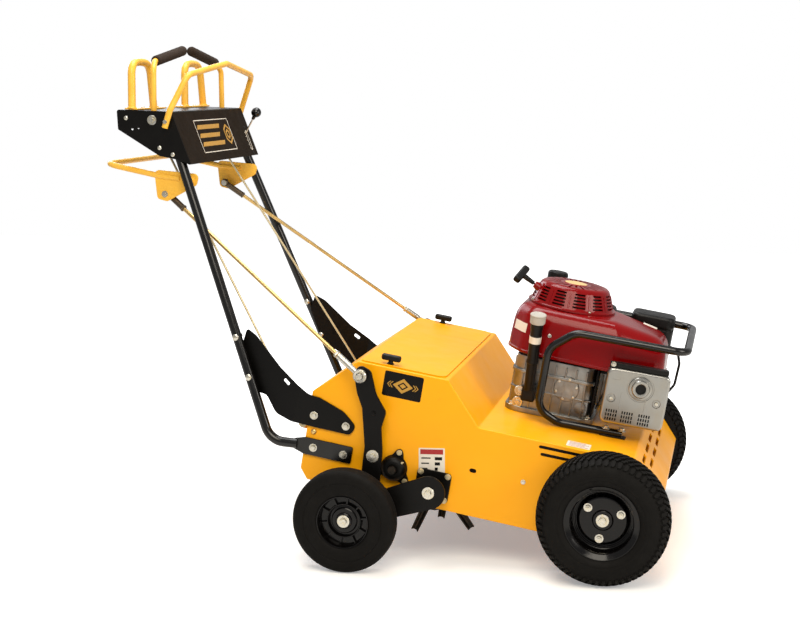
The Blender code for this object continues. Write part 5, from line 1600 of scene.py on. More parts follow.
            bolts.on(side).bolt(-1.2885, 0.2973, 0.896, 0.0105, 0.004)
        bolts.piece("loop_bolts", BRIGHT_ZINC)

    def squeeze_lever(self, side: Side) -> None:
        """Builds one squeeze lever with its foam grip.

        Args:
            side: the machine's right or left.
        """
        sign, (x, z), arm = side.value, self.lever, self.lever_arm
        outer, inner = Vector((-1.362, sign * 0.246, 1.038)), Vector((-1.367, sign * 0.006, 1.074))
        along = (inner - outer).normalized()
        points = [(x, sign * 0.224, z - arm), (x, sign * self.lever_y, z), (-1.352, sign * 0.262, 1.018)]
        points += [outer + along * 0.01, inner - along * 0.026]
        bench = Bench(side).add(pipe(rounded(points, [0, 0.02, 0.02, 0.02, 0], 8), 0.0074, 20))
        bench.pin(x, z, self.lever_y, self.half - self.sheet - 0.0004, 0.005, 24)
        bench.pin(x, z - arm + 0.002, self.rod_y + 0.0052, 0.224, 0.008, 28, 0.0006)
        bench.piece("squeeze_lever", LIT_LOOP_POWDER_COAT, "control_lever", "control")
        start, radius = outer + along * 0.016, 0.0135
        length = (inner - start).length - 0.021
        profile = [(0.0078, 0.001), (0.0105, 0), (0.0128, 0.0022), (radius, 0.006)]
        profile += [(radius - 0.0003 * (i % 2), 0.006 + (length - 0.016) * i / 12) for i in range(1, 13)]
        tail = mm((12.4, 5.2), (9.8, 2), (5.5, 0.3), (0, 0), (0, 2), (7.8, 3))
        sleeve = lathe(profile + [(r, length - h) for r, h in tail], 40)
        grip = Bench(side).add(sleeve, aim(start, along))
        grip.piece("foam_grip", GRIP_FOAM, "grip", "control", 40)

    def thin_rod(self, side: Side) -> None:
        """Builds one thin control rod with its fork and eyes.

        Args:
            side: the machine's right or left.
        """
        top = Vector((self.lever[0], side.value * self.rod_y, self.lever[1] - self.lever_arm))
        low = Vector((self.rod_end[0], side.value * self.rod_end[1], self.rod_end[2]))
        along = (low - top).normalized()
        bench = Bench(side).add(rod(top, low - along * 0.01, 0.003, 20))
        for place, radius, near, far in ((top, 0.008, -0.003, 0.0048), (low, 0.01, -0.0081, 0.005)):
            ring = lathe(collar(0.003, radius, near, far, 0.0008), 28)
            bench.out(place.x, abs(place.y), place.z, ring)
        bench.piece("thin_rod", STRAW_ZINC, "control_rod", "pull_rod")
        fork = Bench(side).add(rod(low - along * 0.046, low - along * 0.006, 0.0045, 24, 0.0008))
        fork.add(prism(circle(0, 0, 0.0062, 6), 0, 0.005, 0.0006), aim(low - along * 0.053, along))
        fork.piece("rod_fork", BRIGHT_ZINC, "", "pull_rod")

    def throttle(self) -> None:
        """Builds the throttle lever with its ball knob."""
        pivot, knob = Vector(self.throttle_pivot), Vector(self.throttle_knob)
        along = (knob - pivot).normalized()
        bench = Bench().add(rod(pivot, knob, 0.0025, 16))
        bench.add(across(pivot.x, pivot.z, pivot.y - 0.004, pivot.y + 0.004, 0.009, 28, 0.0006))
        bench.piece("throttle_stick", BRIGHT_ZINC, "throttle_lever", "throttle")
        neck = lathe(mm((0, 0), (4.2, 0), (5, 3), (5.4, 12), (0, 12)), 28)
        bench = Bench().add(ball(0.0145), at(*knob)).add(neck, aim(knob - along * 0.022, along))
        bench.piece("throttle_ball", PHENOLIC, "", "throttle")

    def build(self) -> None:
        """Builds the console and all that stands on it."""
        self.housing()
        self.panel()
        self.bolts()
        self.loops()
        for side in Side:
            self.squeeze_lever(side)
            self.thin_rod(side)
        self.throttle()


# The engine.


@dataclass
class Engine:
    """The engine on the deck, its shroud, starter, muffler, filler, tank and guard bar."""

    crank_x: float = -0.205
    base: float = 0.3004
    shroud_low: float = 0.462
    shroud_top: float = 0.586
    slope_x: float = -0.078
    slope: float = 0.2
    recoil_top: float = 0.648
    case_x: tuple[float, float] = (-0.315, -0.1)
    case_half: float = 0.105
    middle: tuple[float, float] = (-0.14, -0.02)
    spread: tuple[float, float] = (0.205, 0.125)
    mouth: tuple[float, float, float] = (-0.3, -0.03, 0.624)
    rope_rise: float = 26
    grip_reach: float = 0.054
    grip_roll: float = 25
    guard_low: float = 0.3107
    head_x: float = 0.025
    head_half: float = 0.06
    tank_neck: tuple[float, float] = (-0.27, 0.145)

    def plan(self, grow: float, bend: float) -> list[Vector]:
        """Gives the crankcase's outline seen from above, grown to each side."""
        half = self.case_half + grow
        return tile(self.case_x[0] - grow, -half, self.case_x[1] + grow, half, bend, 6)

    def case(self) -> None:
        """Builds the crankcase with its ribs, plugs and bolts, and the finned cylinder and head."""
        base, head, half = self.base, self.head_x, self.head_half
        bench = Bench().add(prism(self.plan(0.01, 0.04), base, base + 0.014, 0.002))
        bench.add(prism(self.plan(0, 0.03), base + 0.01, 0.45, 0.003))
        bench.add(prism(self.plan(0.006, 0.032), 0.405, 0.414, 0.002))
        bench.add(prism(self.plan(0.004, 0.032), 0.36, 0.365, 0.0015))
        ribs = [(-0.288 + 0.0275 * i, y, 0.0022, 0.0045) for i in range(7) for y in (-0.1045, 0.1045)]
        ribs += [(-0.31475, -0.07 + 0.035 * i, 0.00375, 0.0022) for i in range(5)]
        for x, y, wide, deep in ribs:
            bench.add(block((x - wide, y - deep, base + 0.012), (x + wide, y + deep, 0.44), 0.0016))
        # The oil sump's round cover and the governor boss stand out of the right wall.
        sump, governor = outboard(-0.17, 0.103, 0.385), outboard(-0.128, 0.103, 0.342)
        bench.add(lathe(mm((0, 0), (34, 0), (33, 4.5), (31.5, 5.8), (0, 5.8)), 48), sump)
        bench.add(lathe(mm((0, 0), (16, 0), (15, 4.8), (6, 6), (0, 6)), 32), governor)
        bench.add(block((-0.105, -0.045, 0.345), (0.02, 0.045, 0.435), 0.004))
        for i in range(8):
            x = -0.088 + 0.0115 * i
            bench.add(block((x, -0.062, 0.33), (x + 0.003, 0.062, 0.45), 0.0009))
        bench.add(block((head - 0.02, -half, 0.328), (head + 0.014, half, 0.452), 0.005))
        bench.add(block((head + 0.01, -half + 0.004, 0.334), (head + 0.02, half - 0.004, 0.446), 0.004))
        for x, y in ((-0.302, 0), (-0.13, -0.072), (-0.13, 0.072)):
            bench.add(rod((x, y, 0.44), (x, y, self.shroud_top - 0.0034), 0.008, 20))
        bore = rod((self.crank_x, 0, base - 0.02), (self.crank_x, 0, base + 0.06), 0.0145, 32)
        Bench().add(carve(bench.mesh, bore)).piece("engine_block", CAST_ALUMINIUM, "crankcase", sharp=30)
        plugs = Bench()
        for z, size in ((0.356, 0.0135), (0.325, 0.0145)):
            cup = [(0, 0), (size, 0), (size, 0.002), (size * 0.93, 0.0034), (size * 0.66, 0.0034)]
            plugs.out(-0.29, 0.1085, z, lathe(cup + [(size * 0.6, 0.0014), (0, 0.0014)], 32))
            plugs.bolt(-0.29, 0.1098, z, size * 0.8, 0.0032)
        for i in range(6):
            plugs.add(hex_bolt(0.007, 0.003), sump @ spin(60 * i + 20) @ at(0.0275, 0, 0.0055))
        for x in (-0.306, -0.104):
            for y in (-0.1, 0.1):
                plugs.add(hex_bolt(0.012, 0.0065, 0.0105, 0.0018), aim((x, y, base + 0.0138)))
        for y in (-0.045, 0.045):
            for z in (0.35, 0.43):
                plugs.add(hex_bolt(0.011, 0.005, 0.008, 0.0014), aim((head + 0.0195, y, z), (1, 0, 0)))
        plugs.piece("engine_bolts", BRIGHT_ZINC)
        # Painted shade: a dark plate and bar in the corner between the crankcase's front and the cylinder's
        # fins, for the shadow that falls there, with a thin dark rod across them.
        recess_shade = Bench().add(block((-0.0995, -0.098, 0.322), (-0.094, -0.046, 0.448), 0.001))
        recess_shade.add(block((-0.096, -0.066, 0.436), (-0.052, -0.046, 0.456), 0.002))
        recess_shade.add(rod((-0.088, -0.088, 0.345), (-0.06, -0.072, 0.442), 0.0022, 12))
        recess_shade.piece("air_baffle", BLACK_POWDER_COAT)

    def crown(self) -> list[tuple[float, ...]]:
        """Gives the rounding of the shroud from its hem up, as (inwards, upwards)."""
        hem = mm((0, 0), (-1.5, 1.5), (-1.5, 7), (0, 8.5), (1, 40), (3, 74), (6, 92))
        return hem + mm((11, 106), (18, 115.5), (27, 121.3), (38, 123.5), (50, 124))

    def skin_point(self, point: Vector, rise: float, wall: float) -> Vector:
        """Finds a place on the shroud.

        Args:
            point: the place on its plan.
            rise: the height over its hem.
            wall: how far the place lies inside the outer skin.

        Returns:
            The place.
        """
        rows = self.crown()
        for (start, low), (end, high) in zip(rows, rows[1:]):
            if rise <= high:
                break
        depth = start + (end - start) * (rise - low) / (high - low) + wall
        x, y = (m + (p - m) * (1 - depth / s) for p, m, s in zip(point, self.middle, self.spread))
        drop = max(0, x - self.slope_x) * self.slope * min(1, rise / 0.1)
        return Vector((x, y, self.shroud_low + rise - drop))

    def shroud_line(self) -> list[Vector]:
        """Gives the shroud's plan with its corners rounded, clockwise from the rear left."""
        plan = mm((-345, -75), (-345, 65), (-300, 100), (-90, 98), (-62, 66), (70, 55), (66, -120))
        bends = [0.05, 0.04, 0.04, 0.02, 0.02, 0.04, 0.04, 0.05, 0.05]
        return loop(plan + mm((-60, -160), (-300, -140)), bends, 7)

    def shroud_form(self, wall: float) -> BMesh:
        """Lofts the shroud's plan up to its rounded crown.

        Args:
            wall: how far the form lies inside the outer skin.

        Returns:
            The closed form.
        """
        line = self.shroud_line()
        mesh = bmesh.new()
        rings = []
        for _, rise in self.crown():
            sink = Vector((0, 0, wall if rise > 0 else 2 * wall))
            rings.append([mesh.verts.new(self.skin_point(p, rise, wall) - sink) for p in line])
        bmesh.ops.triangulate(mesh, faces=stitch(mesh, rings))
        return outward(mesh)

    def shroud(self) -> None:
        """Builds the red shroud with its rounded crown, its bare plates and bracket bolts."""
        tools = join(self.shroud_form(0.003), prism(circle(self.crank_x, 0, 0.088, 48), 0.5, 0.65))
        shell = Bench().add(carve(self.shroud_form(0), tools))
        shell.piece("red_shroud", RED_ENAMEL, "engine_shroud", sharp=25)
        corner = [p for p in self.shroud_line() if p.x < -0.3 and p.y < -0.085]
        film = bmesh.new()
        for wall in (-0.0005, 0.0003):
            for rise in (0.052, 0.06, 0.068, 0.076):
                for point in corner:
                    film.verts.new(self.skin_point(point, rise, wall))
        bmesh.ops.convex_hull(film, input=film.verts)
        bmesh.ops.delete(film, geom=[v for v in film.verts if not v.link_faces], context="VERTS")
        x = 0.006
        top = self.shroud_top - (x - self.slope_x) * self.slope
        badge = prism(tile(-0.019, -0.01, 0.019, 0.01, 0.003), -0.001, 0.0007)
        bench = Bench().add(film).add(badge, at(x, 0.028, top) @ spin(11.3, "Y"))
        bench.piece("shroud_plates", PALE_VINYL)
        bolts = Bench()
        for place, way in (
            ((-0.235, -0.1385, 0.52), (0.06, -1, 0.12)), ((-0.12, -0.146, 0.486), (0.05, -1, 0.1)),
        ):
            bolts.add(hex_bolt(0.01, 0.0045, 0.008, 0.0014), aim(place, way))
        bolts.piece("shroud_bolts", BRIGHT_ZINC)

    def recoil(self) -> None:
        """Builds the tapered recoil cover with its louvres and crown slots."""
        low, top = self.shroud_top + 0.0004, self.recoil_top
        shell = [(0.104, low), (0.0905, low + 0.047)]
        cap = mm((84, 7.5), (0, 4.5), (0, 0), (32, 0), (34, 1.2), (77, 1.6), (85, 3.6), (90.5, 8), (94, 14.5))
        shell += [(r, top - h) for r, h in cap]
        shell += [(r, low + h) for r, h in mm((108.5, 8.5), (110.5, 5.8), (115, 5.4), (116, 4.4), (116, 0))]
        tools = bmesh.new()
        for column in range(12):
            place = spin(30 * column + 15) @ at(0.102)
            for row in range(5):
                z, half = low + 0.011 + 0.008 * row, 0.0172 - 0.0009 * row
                join(tools, block((-0.022, -half, z), (0.022, half, z + 0.0046)), place)
        slots = 26
        for i in range(slots):
            outer = 0.08 if i % 2 else 0.072
            bar = prism(slot((0.04 + outer) / 2, 0, outer - 0.04, 0.0062), top - 0.02, top + 0.02)
            join(tools, bar, spin(360 * i / slots))
        mouth, along = self.rope_mouth()
        place = at(self.crank_x)
        join(tools, rod(mouth - along * 0.03, mouth + along * 0.04, 0.0032, 20), place.inverted())
        bench = Bench().add(carve(lathe(shell, 96), tools), place)
        nose = mm((4.8, -14), (12.5, -14), (10.5, 4), (8.5, 10.5), (4.8, 10.5))
        bench.add(lathe(nose, 32), aim(mouth, along))
        lean = at(0.1015, 0, low) @ spin(-19.5, "Y") @ at(0.0085, 0, -low)
        for column in range(12):
            rib = block((-0.002, -0.0022, low + 0.006), (0.0018, 0.0022, low + 0.044), 0.0009)
            bench.add(rib, place @ spin(30 * column) @ lean)
        bench.piece("recoil_cowl", RED_ENAMEL, "recoil_cover", sharp=30)
        drum = [(0, low + 0.002), (0.101, low + 0.002), (0.09, low + 0.038), (0.086, low + 0.046)]
        drum += [(0.08, top - 0.0115), (0, top - 0.0115)]
        Bench().add(lathe(drum, 64), place).piece("fan_screen", BLACK_ABS)
        disc = [(0, top - 0.001), (0.03, top - 0.001), (0.03, top - 0.0002), (0.0292, top + 0.0002)]
        Bench().add(lathe(disc + [(0, top + 0.0003)]), place).piece("crown_disc", CREAM_VINYL)
        bolts = Bench()
        for turn in (30, 120, 210, 300):
            bolts.add(hex_bolt(0.0078, 0.0034), place @ spin(turn) @ at(0.1125, 0, low + 0.005))
        bolts.piece("recoil_bolts", BRIGHT_ZINC)

    def rope_mouth(self) -> tuple[Vector, Vector]:
        """Gives the mouth that the starter rope leaves by, and the direction in which it leaves."""
        rise = math.radians(self.rope_rise)
        return Vector(self.mouth), Vector((-math.cos(rise), 0, math.sin(rise)))

    def pull_grip(self) -> None:
        """Builds the starter's T grip on its rope."""
        mouth, along = self.rope_mouth()
        turn = at(*(mouth + along * self.grip_reach)) @ spin(self.rope_rise, "Y") @ spin(self.grip_roll, "X")
        bar = block((-0.0105, -0.0358, -0.0098), (0.0105, 0.0358, 0.0098), 0.007, 5)
        for vert in bar.verts:
            vert.co.x *= 0.84 + 0.16 * (vert.co.y / 0.036) ** 2
        end = self.grip_reach - 0.013
        stalk = [(0.0026, 0.006), (0.007, 0.006), (0.0066, end * 0.5), (0.0052, end), (0.0026, end)]
        bench = Bench().add(bar, turn).add(lathe(stalk, 28), turn @ spin(90, "Y"))
        bench.piece("pull_grip", BLACK_ABS, "recoil_grip", "starter_grip")
        rings, length = 140, self.grip_reach + 0.1
        strands = [turn @ Vector((0.01 + length * i / (rings - 1), 0, 0)) for i in range(rings)]
        rope = pipe(strands, [0.0025 if i % 3 else 0.0021 for i in range(rings)], 12)
        Bench().add(rope).piece("starter_rope", GRIP_FOAM, "", "starter_grip")

    def filler(self) -> None:
        """Builds the oil filler tube and its cap."""
        foot, top = Vector((-0.262, -0.15, 0.372)), Vector((-0.268, -0.178, 0.552))
        length = (top - foot).length
        low, high = aim(foot, top - foot), aim(top, top - foot)
        neck = mm((0, 0), (12.8, 0), (13, 10), (14, 70), (14.2, 74), (15.8, 76), (15.8, 84), (14.5, 86))
        neck += [(r, length - h) for r, h in mm((15.2, 16), (16.6, 14), (16.6, 1), (15.6, 0), (0, 0))]
        bench = Bench().add(lathe(neck, 40), low)
        bench.add(block((-0.28, -0.1538, 0.34), (-0.244, -0.1055, 0.384), 0.006, 3))
        bench.piece("filler_pipe", BLACK_ABS, "oil_filler_tube")
        sleeve = [(r, length - h) for r, h in mm((14, 52), (15.6, 52), (15.8, 34), (14, 34))]
        Bench().add(lathe(sleeve, 40), low).piece("filler_ring", PALE_VINYL)
        cap = mm((0, 0.4), (17.8, 0.4), (18.6, 1.6), (19, 20), (20.6, 21.5), (21, 22.5), (20.6, 24.8))
        bench = Bench().add(lathe(cap + mm((19.2, 26), (12, 26), (10.8, 25), (0, 25))), high)
        for i in range(30):
            rib = rod((*polar(0.0186, 12 * i), 0.0025), (*polar(0.0192, 12 * i), 0.0195), 0.0009, 8)
            bench.add(rib, high)
        bench.piece("filler_cap", GREY_NYLON, "oil_cap", "dipstick_cap")

    def muffler(self) -> None:
        """Builds the pressed muffler shield with its slots, outlet and bolts, and the can behind it."""
        place = at(0.012, -0.205, 0.415) @ spin(8) @ spin(90, "X")
        pan = prism(tile(-0.08, -0.072, 0.08, 0.072, 0.016, 6), -0.035, 0, 0.0065, 4)
        tools = prism(tile(-0.077, -0.069, 0.077, 0.069, 0.013, 4), -0.04, -0.004)
        for column in (-0.053, -0.013, 0.03):
            for row in (-0.0385, -0.049, -0.0595):
                for slit in range(-2, 3):
                    opening = slot(column + 0.0062 * slit, row, 0.0084, 0.0036, 90)
                    join(tools, prism(opening, -0.01, 0.01))
        bolt_spots, outlet = ((-0.06, -0.006), (0.054, -0.002)), at(0.008, 0.03)
        for x, y in bolt_spots:
            join(tools, lathe(mm((0, -2.4), (9.5, -2.4), (13, 4), (0, 4)), 32), at(x, y))
        join(tools, lathe(mm((0, -1.8), (34, -1.8), (35.5, 4), (0, 4))), outlet)
        join(tools, prism(slot(-0.058, 0.048, 0.026, 0.01), -0.0012, 0.004))
        bench = Bench().add(carve(pan, tools), place)
        seat = mm((13.5, -10), (13.5, 9.2), (15.5, 10), (20.5, 9.8), (22.2, 8.2), (23.2, 5.8), (28.6, 5.2))
        bench.add(lathe(seat + mm((30, 3.6), (30, -4)), 56), place @ outlet)
        bench.add(block((-0.045, -0.18, 0.355), (0.062, -0.1, 0.44), 0.01, 4))
        bench.pin(self.head_x, 0.39, 0.11, self.head_half + 0.0004, 0.016, 32)
        bench.add(block((0.0085, -0.112, 0.368), (0.0415, -0.106, 0.412), 0.002))
        for x in (-0.036, 0.026):
            bench.add(block((x - 0.0011, -0.03, -0.0012), (x + 0.0011, 0.014, 0.0009), 0.0008), place)
        bench.piece("muffler_pan", PRESSED_STAINLESS, "muffler_shield", sharp=32)
        # Painted shade: a dark disc that fills the outlet's bore, for the shadow inside it.
        shade_and_strips = Bench().add(prism(circle(0, 0, 0.0136, 32), -0.009, 0.0035), place @ outlet)
        # Painted shade: dark dots on the outlet's seat, for the shade inside its small holes.
        for i in range(8):
            hole = prism(circle(0, 0, 0.0017, 12), 0, 0.0003)
            shade_and_strips.add(hole, place @ outlet @ spin(45 * (i + 0.5)) @ at(0.0258, 0, 0.005))
        # Painted shade: a dark plate behind the slits, for the shadow behind them.
        shade_and_strips.add(prism(tile(-0.069, -0.065, 0.069, -0.025, 0.004), -0.0085, -0.006), place)
        # A dark strip along the pan's top edge, and a tab under its corner bolt.
        shade_and_strips.add(block((-0.06, 0.0722, -0.03), (0.072, 0.085, -0.004), 0.0025), place)
        shade_and_strips.add(block((-0.078, 0.07, -0.006), (-0.06, 0.088, -0.0036), 0.0008), place)
        shade_and_strips.piece("muffler_dark", BLACK_ABS)
        bolts = Bench()
        for x, y in bolt_spots:
            bolts.add(hex_bolt(0.0092, 0.0044), place @ at(x, y, -0.0024))
        bolts.add(hex_bolt(0.009, 0.004, 0.0066, 0.001), place @ at(-0.069, 0.08, -0.0037))
        bolts.piece("muffler_bolts", BRIGHT_ZINC)

    def guard(self) -> None:
        """Builds the guard bar with its flattened feet bolted to the deck."""
        low = self.guard_low
        right = [(-0.006, -0.165, low), (-0.172, -0.18, low)]
        left = [(x, -y, z) for x, y, z in reversed(right)]
        right += mm((-226, -197, 338), (-226, -200, 500), (-165, -200, 552), (115.5, -196, 556))
        left = mm((115.5, 196, 560), (-165, 200, 556), (-226, 200, 500), (-226, 197, 338)) + left
        bends = [0, 0.05, 0.05, 0.05, 0.05, 0.035, 0.035, 0.05, 0.05, 0.05, 0.05, 0]
        bench = Bench().add(pipe(rounded(right + left, bends, 8), 0.0102, 24))
        bolts = Bench()
        for sign in (-1, 1):
            foot = [(x, sign * y) for x, y in mm((-62, 152), (-62, 180), (6, 178), (6, 150))]
            bench.add(prism(loop(foot, 0.006, 4), 0.3003, 0.3048, 0.0012))
            for x, y in ((-0.048, 0.171), (-0.008, 0.1655)):
                bolts.add(hex_bolt(0.012, 0.006, 0.011, 0.0016), aim((x, sign * y, low + 0.0088)))
        bench.piece("engine_guard", TUBE_ENAMEL, "guard_bar")
        bolts.piece("guard_bolts", BRIGHT_ZINC)

    def intake_and_tank(self) -> None:
        """Builds the air cleaner, the fuel tank and its cap."""
        plan, head = tile(-0.05, 0.078, 0.066, 0.172, 0.02, 6), self.head_x
        bench = Bench().add(prism(plan, 0.48, 0.555, 0.003)).add(prism(plan, 0.556, 0.59, 0.009, 4))
        bench.add(prism(tile(-0.047, 0.081, 0.063, 0.169, 0.017, 6), 0.554, 0.558))
        bench.add(rod((head, 0.11, 0.485), (head, 0.11, 0.384), 0.016, 32, 0.002))
        bench.add(across(head, 0.4, 0.11, self.head_half + 0.0004, 0.014, 32))
        bench.add(block((-0.022, 0.1, 0.5885), (0.038, 0.15, 0.5905), 0.001))
        for near, far in ((-0.0522, -0.0418), (0.0558, 0.066)):
            bench.add(block((near, 0.112, 0.535), (far, 0.134, 0.572), 0.0015))
        bench.piece("air_box", BLACK_ABS, "air_cleaner")
        bench = Bench().add(prism(tile(-0.32, 0.1054, -0.095, 0.179, 0.02, 6), 0.365, 0.585, 0.014, 5))
        bench.add(rod((*self.tank_neck, 0.575), (*self.tank_neck, 0.625), 0.019, 32))
        bench.add(prism(tile(-0.3205, 0.1054, -0.0945, 0.1795, 0.021, 6), 0.478, 0.482, 0.0012))
        bench.piece("petrol_tank", BLACK_ABS, "fuel_tank")
        profile = mm((0, 0), (27, 0), (28, 1), (27, 18.5), (26.2, 21.5), (23.5, 23.4), (10, 23.6), (0, 23.6))
        place = aim((*self.tank_neck, 0.6254))
        bench = Bench().add(lathe(profile, 56), place)
        for i in range(20):
            spot = polar(0.0268, 18 * i)
            bench.add(rod((*spot, 0.002), (*spot, 0.0185), 0.0012, 8, 0.0004), place)
        bench.piece("tank_lid", BLACK_ABS, "fuel_cap", "tank_cap")

    def lead(self) -> None:
        """Runs the spark lead from its boot on the head up under the shroud."""
        points = mm(
            (52, 20, 400), (82, 16, 402), (98, 10, 430), (100, 0, 490), (88, -10, 528), (62, -12, 532),
        )
        line = rounded(points, [0, 0.02, 0.03, 0.03, 0.01, 0], 8)
        cord = Bench().add(pipe(line, 0.0035)).piece("spark_cable", BLACK_ABS, "spark_lead")
        boot = mm(
            (0, 0), (8.8, 0), (9, 6), (7.8, 8), (8.8, 10), (7.8, 13), (8.6, 15), (6, 22), (4, 24.5),
            (0, 24.5),
        )
        cover = Bench().add(lathe(boot, 28), aim((0.0455, 0.02, 0.4), (1, -0.06, 0.02)))
        cover = cover.piece("spark_boot", BLACK_ABS)

    def build(self) -> None:
        """Builds the whole engine."""
        self.case()
        self.shroud()
        self.recoil()
        self.pull_grip()
        self.filler()
        self.muffler()
        self.guard()
        self.intake_and_tank()
        self.lead()


# The tine drive.


@dataclass
class TineDrive:
    """The rotor with its coring tines, and the shafts, bearings, chain and belt that drive it."""

    x: float = -0.433
    z: float = 0.123
    reel_y: tuple[float, ...] = (-0.29, -0.125, 0.125, 0.29)
    tip: float = 0.15
    tines: int = 6
    chain_y: float = 0.345
    wall: float = 0.3684
    idler: tuple[float, float] = (-0.537, 0.153)

    def tine(self) -> BMesh:
        """Builds one coring tine along Z: a bolted shank that opens into a half-round spoon.

        Returns:
            Its closed mesh.
        """
        levels = [0.058, 0.066, 0.08, 0.095, 0.115, 0.135, self.tip - 0.001]
        bore, gape = 0.0066, 112
        mesh = bmesh.new()
        rings = []
        for i, level in enumerate(levels):
            radius = 0.0118 - 0.0022 * i / (len(levels) - 1)
            swings = [gape * (s / 8 - 1) for s in range(17)]
            spoon = [polar(radius, t) for t in swings] + [polar(bore, t) for t in reversed(swings)]
            shank = [polar(radius, 360 * s / len(spoon) - gape) for s in range(len(spoon))]
            rings.append([mesh.verts.new((*spot, level)) for spot in (shank if i < 2 else spoon)])
        stitch(mesh, rings)
        return outward(mesh)

    def rotor(self) -> None:
        """Builds the shaft with its sprocket, and the four reels."""
        reach = 0.374
        bench = Bench().add(across(self.x, self.z, -reach, reach, 0.0125, 32, 0.001))
        teeth = [polar((0.0515, 0.054, 0.056, 0.054)[i % 4], 5 * i) for i in range(72)]
        holes = [circle(*polar(0.038, 60 * i), 0.007, 20) for i in range(6)]
        bench.out(self.x, self.chain_y, self.z, punched(teeth, holes, -0.002, 0.002, 0.0003))
        bench.pin(self.x, self.z, self.chain_y - 0.01, self.chain_y + 0.01, 0.022, 36, 0.001)
        bench.piece("rotor_shaft", FORGED_TINE_STEEL, "tine_shaft", "rotor")
        half_disc = mm((25, -22), (26, -20.5), (26.5, -5), (27.5, -4), (76.5, -4), (77.8, -2.6))
        disc = half_disc + [(r, -h) for r, h in reversed(half_disc)]
        for n, y in enumerate(self.reel_y):
            place = outboard(self.x, -y, self.z)
            bench = Bench().add(lathe([(0.0129, -0.022), *disc, (0.0129, 0.022)]), place)
            bolts = Bench()
            for i in range(self.tines):
                spoke = place @ spin(360 * i / self.tines + 15 + 15 * n)
                bench.add(self.tine(), spoke @ spin(90, "Y"))
                for level in (0.056, 0.068):
                    bolts.add(hex_bolt(0.0085, 0.0035), spoke @ at(level, 0, 0.011))
            bench.piece(f"coring_reel_{n + 1}", FORGED_TINE_STEEL, f"tine_reel_{n + 1}", "rotor")
            bolts.piece(f"tine_bolts_{n + 1}", BRIGHT_ZINC, "", "rotor")

    def bearings(self) -> None:
        """Builds the two flanged rotor bearings and the three-lobed idler bearing."""
        x, z, wall = self.x, self.z, self.wall
        flange = tile(x - 0.044, z - 0.032, x + 0.044, z + 0.046, 0.01, 5)
        for side in Side:
            solid = Bench(side).plate(flange, wall, 0.3744, 0.0015).pin(
                x, z, 0.369, 0.4116, 0.028, 40, 0.0025,
            )
            bores = Bench(side).pin(x, z, 0.35, 0.378, 0.0132).pin(x, z, 0.392, 0.43, 0.0064)
            bench = Bench(side).add(carve(solid.mesh, bores.mesh))
            bench.piece("flange_bearing", BLACK_POWDER_COAT, "rotor_bearing")
            bolts = Bench(side)
            for u, v in ((-0.468, 0.161), (-0.398, 0.161), (-0.398, 0.099), (-0.468, 0.099)):
                bolts.bolt(u, 0.3743, v, 0.0105, 0.0045, 0.0078, 0.0012)
            bolts.piece("bearing_bolts", STRAW_ZINC)
        x, z = self.idler
        outline = []
        for i in range(72):
            lobe = max(0, math.cos(math.radians(3 * (5 * i + 80)))) ** 2
            outline.append(Vector(self.idler) + polar(0.034 + 0.018 * lobe, -5 * i))
        cup = mm((10.6, 1), (32, 1), (32.2, 8), (31.2, 13), (28.5, 18), (24.5, 21.8), (20.5, 23.6))
        bench = Bench().plate(outline, wall, wall + 0.006, 0.0014)
        bench.out(x, wall, z, lathe(cup + mm((15.5, 24), (10.6, 22.5))))
        bench.piece("lobed_bearing", BLACK_POWDER_COAT, "idler_bearing")
        bolts = Bench()
        for turn in (80, 200, 320):
            spot = polar(0.043, turn)
            bolts.bolt(x + spot.x, wall + 0.006, z + spot.y, 0.01, 0.0045, 0.0072, 0.0012)
        nipple = mm((0, 0), (3.2, 0), (3.2, 3), (1.8, 4.5), (2.4, 6.5), (1.2, 8.5), (0, 8.8))
        bolts.add(lathe(nipple, 20), aim((x + 0.019, -wall - 0.016, z + 0.019), (0.6, -0.5, 0.6)))
        bolts.piece("lobed_bearing_bolts", STRAW_ZINC)

    def inner_drive(self) -> None:
        """Dresses the frame's own shafts, chain, pulley and belt, whose shapes are right."""
        choices = {
            "cross_shaft": BRIGHT_ZINC,
            "idler_sprocket": FORGED_TINE_STEEL,
            "drive_chain": FORGED_TINE_STEEL,
            "engine_pulley": BRIGHT_ZINC,
            "drive_belt": BELT_RUBBER,
        }
        for name, finish in choices.items():
            obj = bpy.data.objects[name]
            obj.data.materials.clear()
            obj.data.materials.append(finish.material())
            LOG.info("%s: kept from the frame, %s", name, finish.name)

    def build(self) -> None:
        """Builds the rotor and dresses its drive."""
        self.rotor()
        self.bearings()
        self.inner_drive()


# The studio.


@dataclass(frozen=True)
class Lamp:
    """A square soft lamp, with its side in metres, its power and the colour of its light."""

    name: str
    place: Point
    target: Point
    size: float
    watts: float
    colour: str

    def hang(self) -> None:
        """Hangs the lamp at its place, pointed at its target."""
        data = bpy.data.lights.new(self.name, "AREA")
        data.size = self.size
        data.energy = self.watts
        data.color = linear(self.colour)[:3]
        obj = bpy.data.objects.new(self.name, data)
        obj.location = self.place
        obj.rotation_euler = (Vector(self.place) - Vector(self.target)).to_track_quat("Z", "Y").to_euler()
        bpy.context.scene.collection.objects.link(obj)


LAMPS = (
    Lamp("key lamp", (0.6, -2.9, 3.2), (0, 0, 0.5), 2.2, 105, "#FFF6E6"),
    Lamp("top lamp", (-0.3, 0.3, 3.4), (0, 0, 0.4), 2, 90, "#FFFFFF"),
    Lamp("rear lamp", (-2.4, 2.6, 2.2), (0, 0, 0.6), 2, 45, "#F4F8FF"),
    Lamp("nose lamp", (3, -1.3, 1.5), (0.5, 0, 0.3), 1.2, 34, "#FFF8EE"),
)


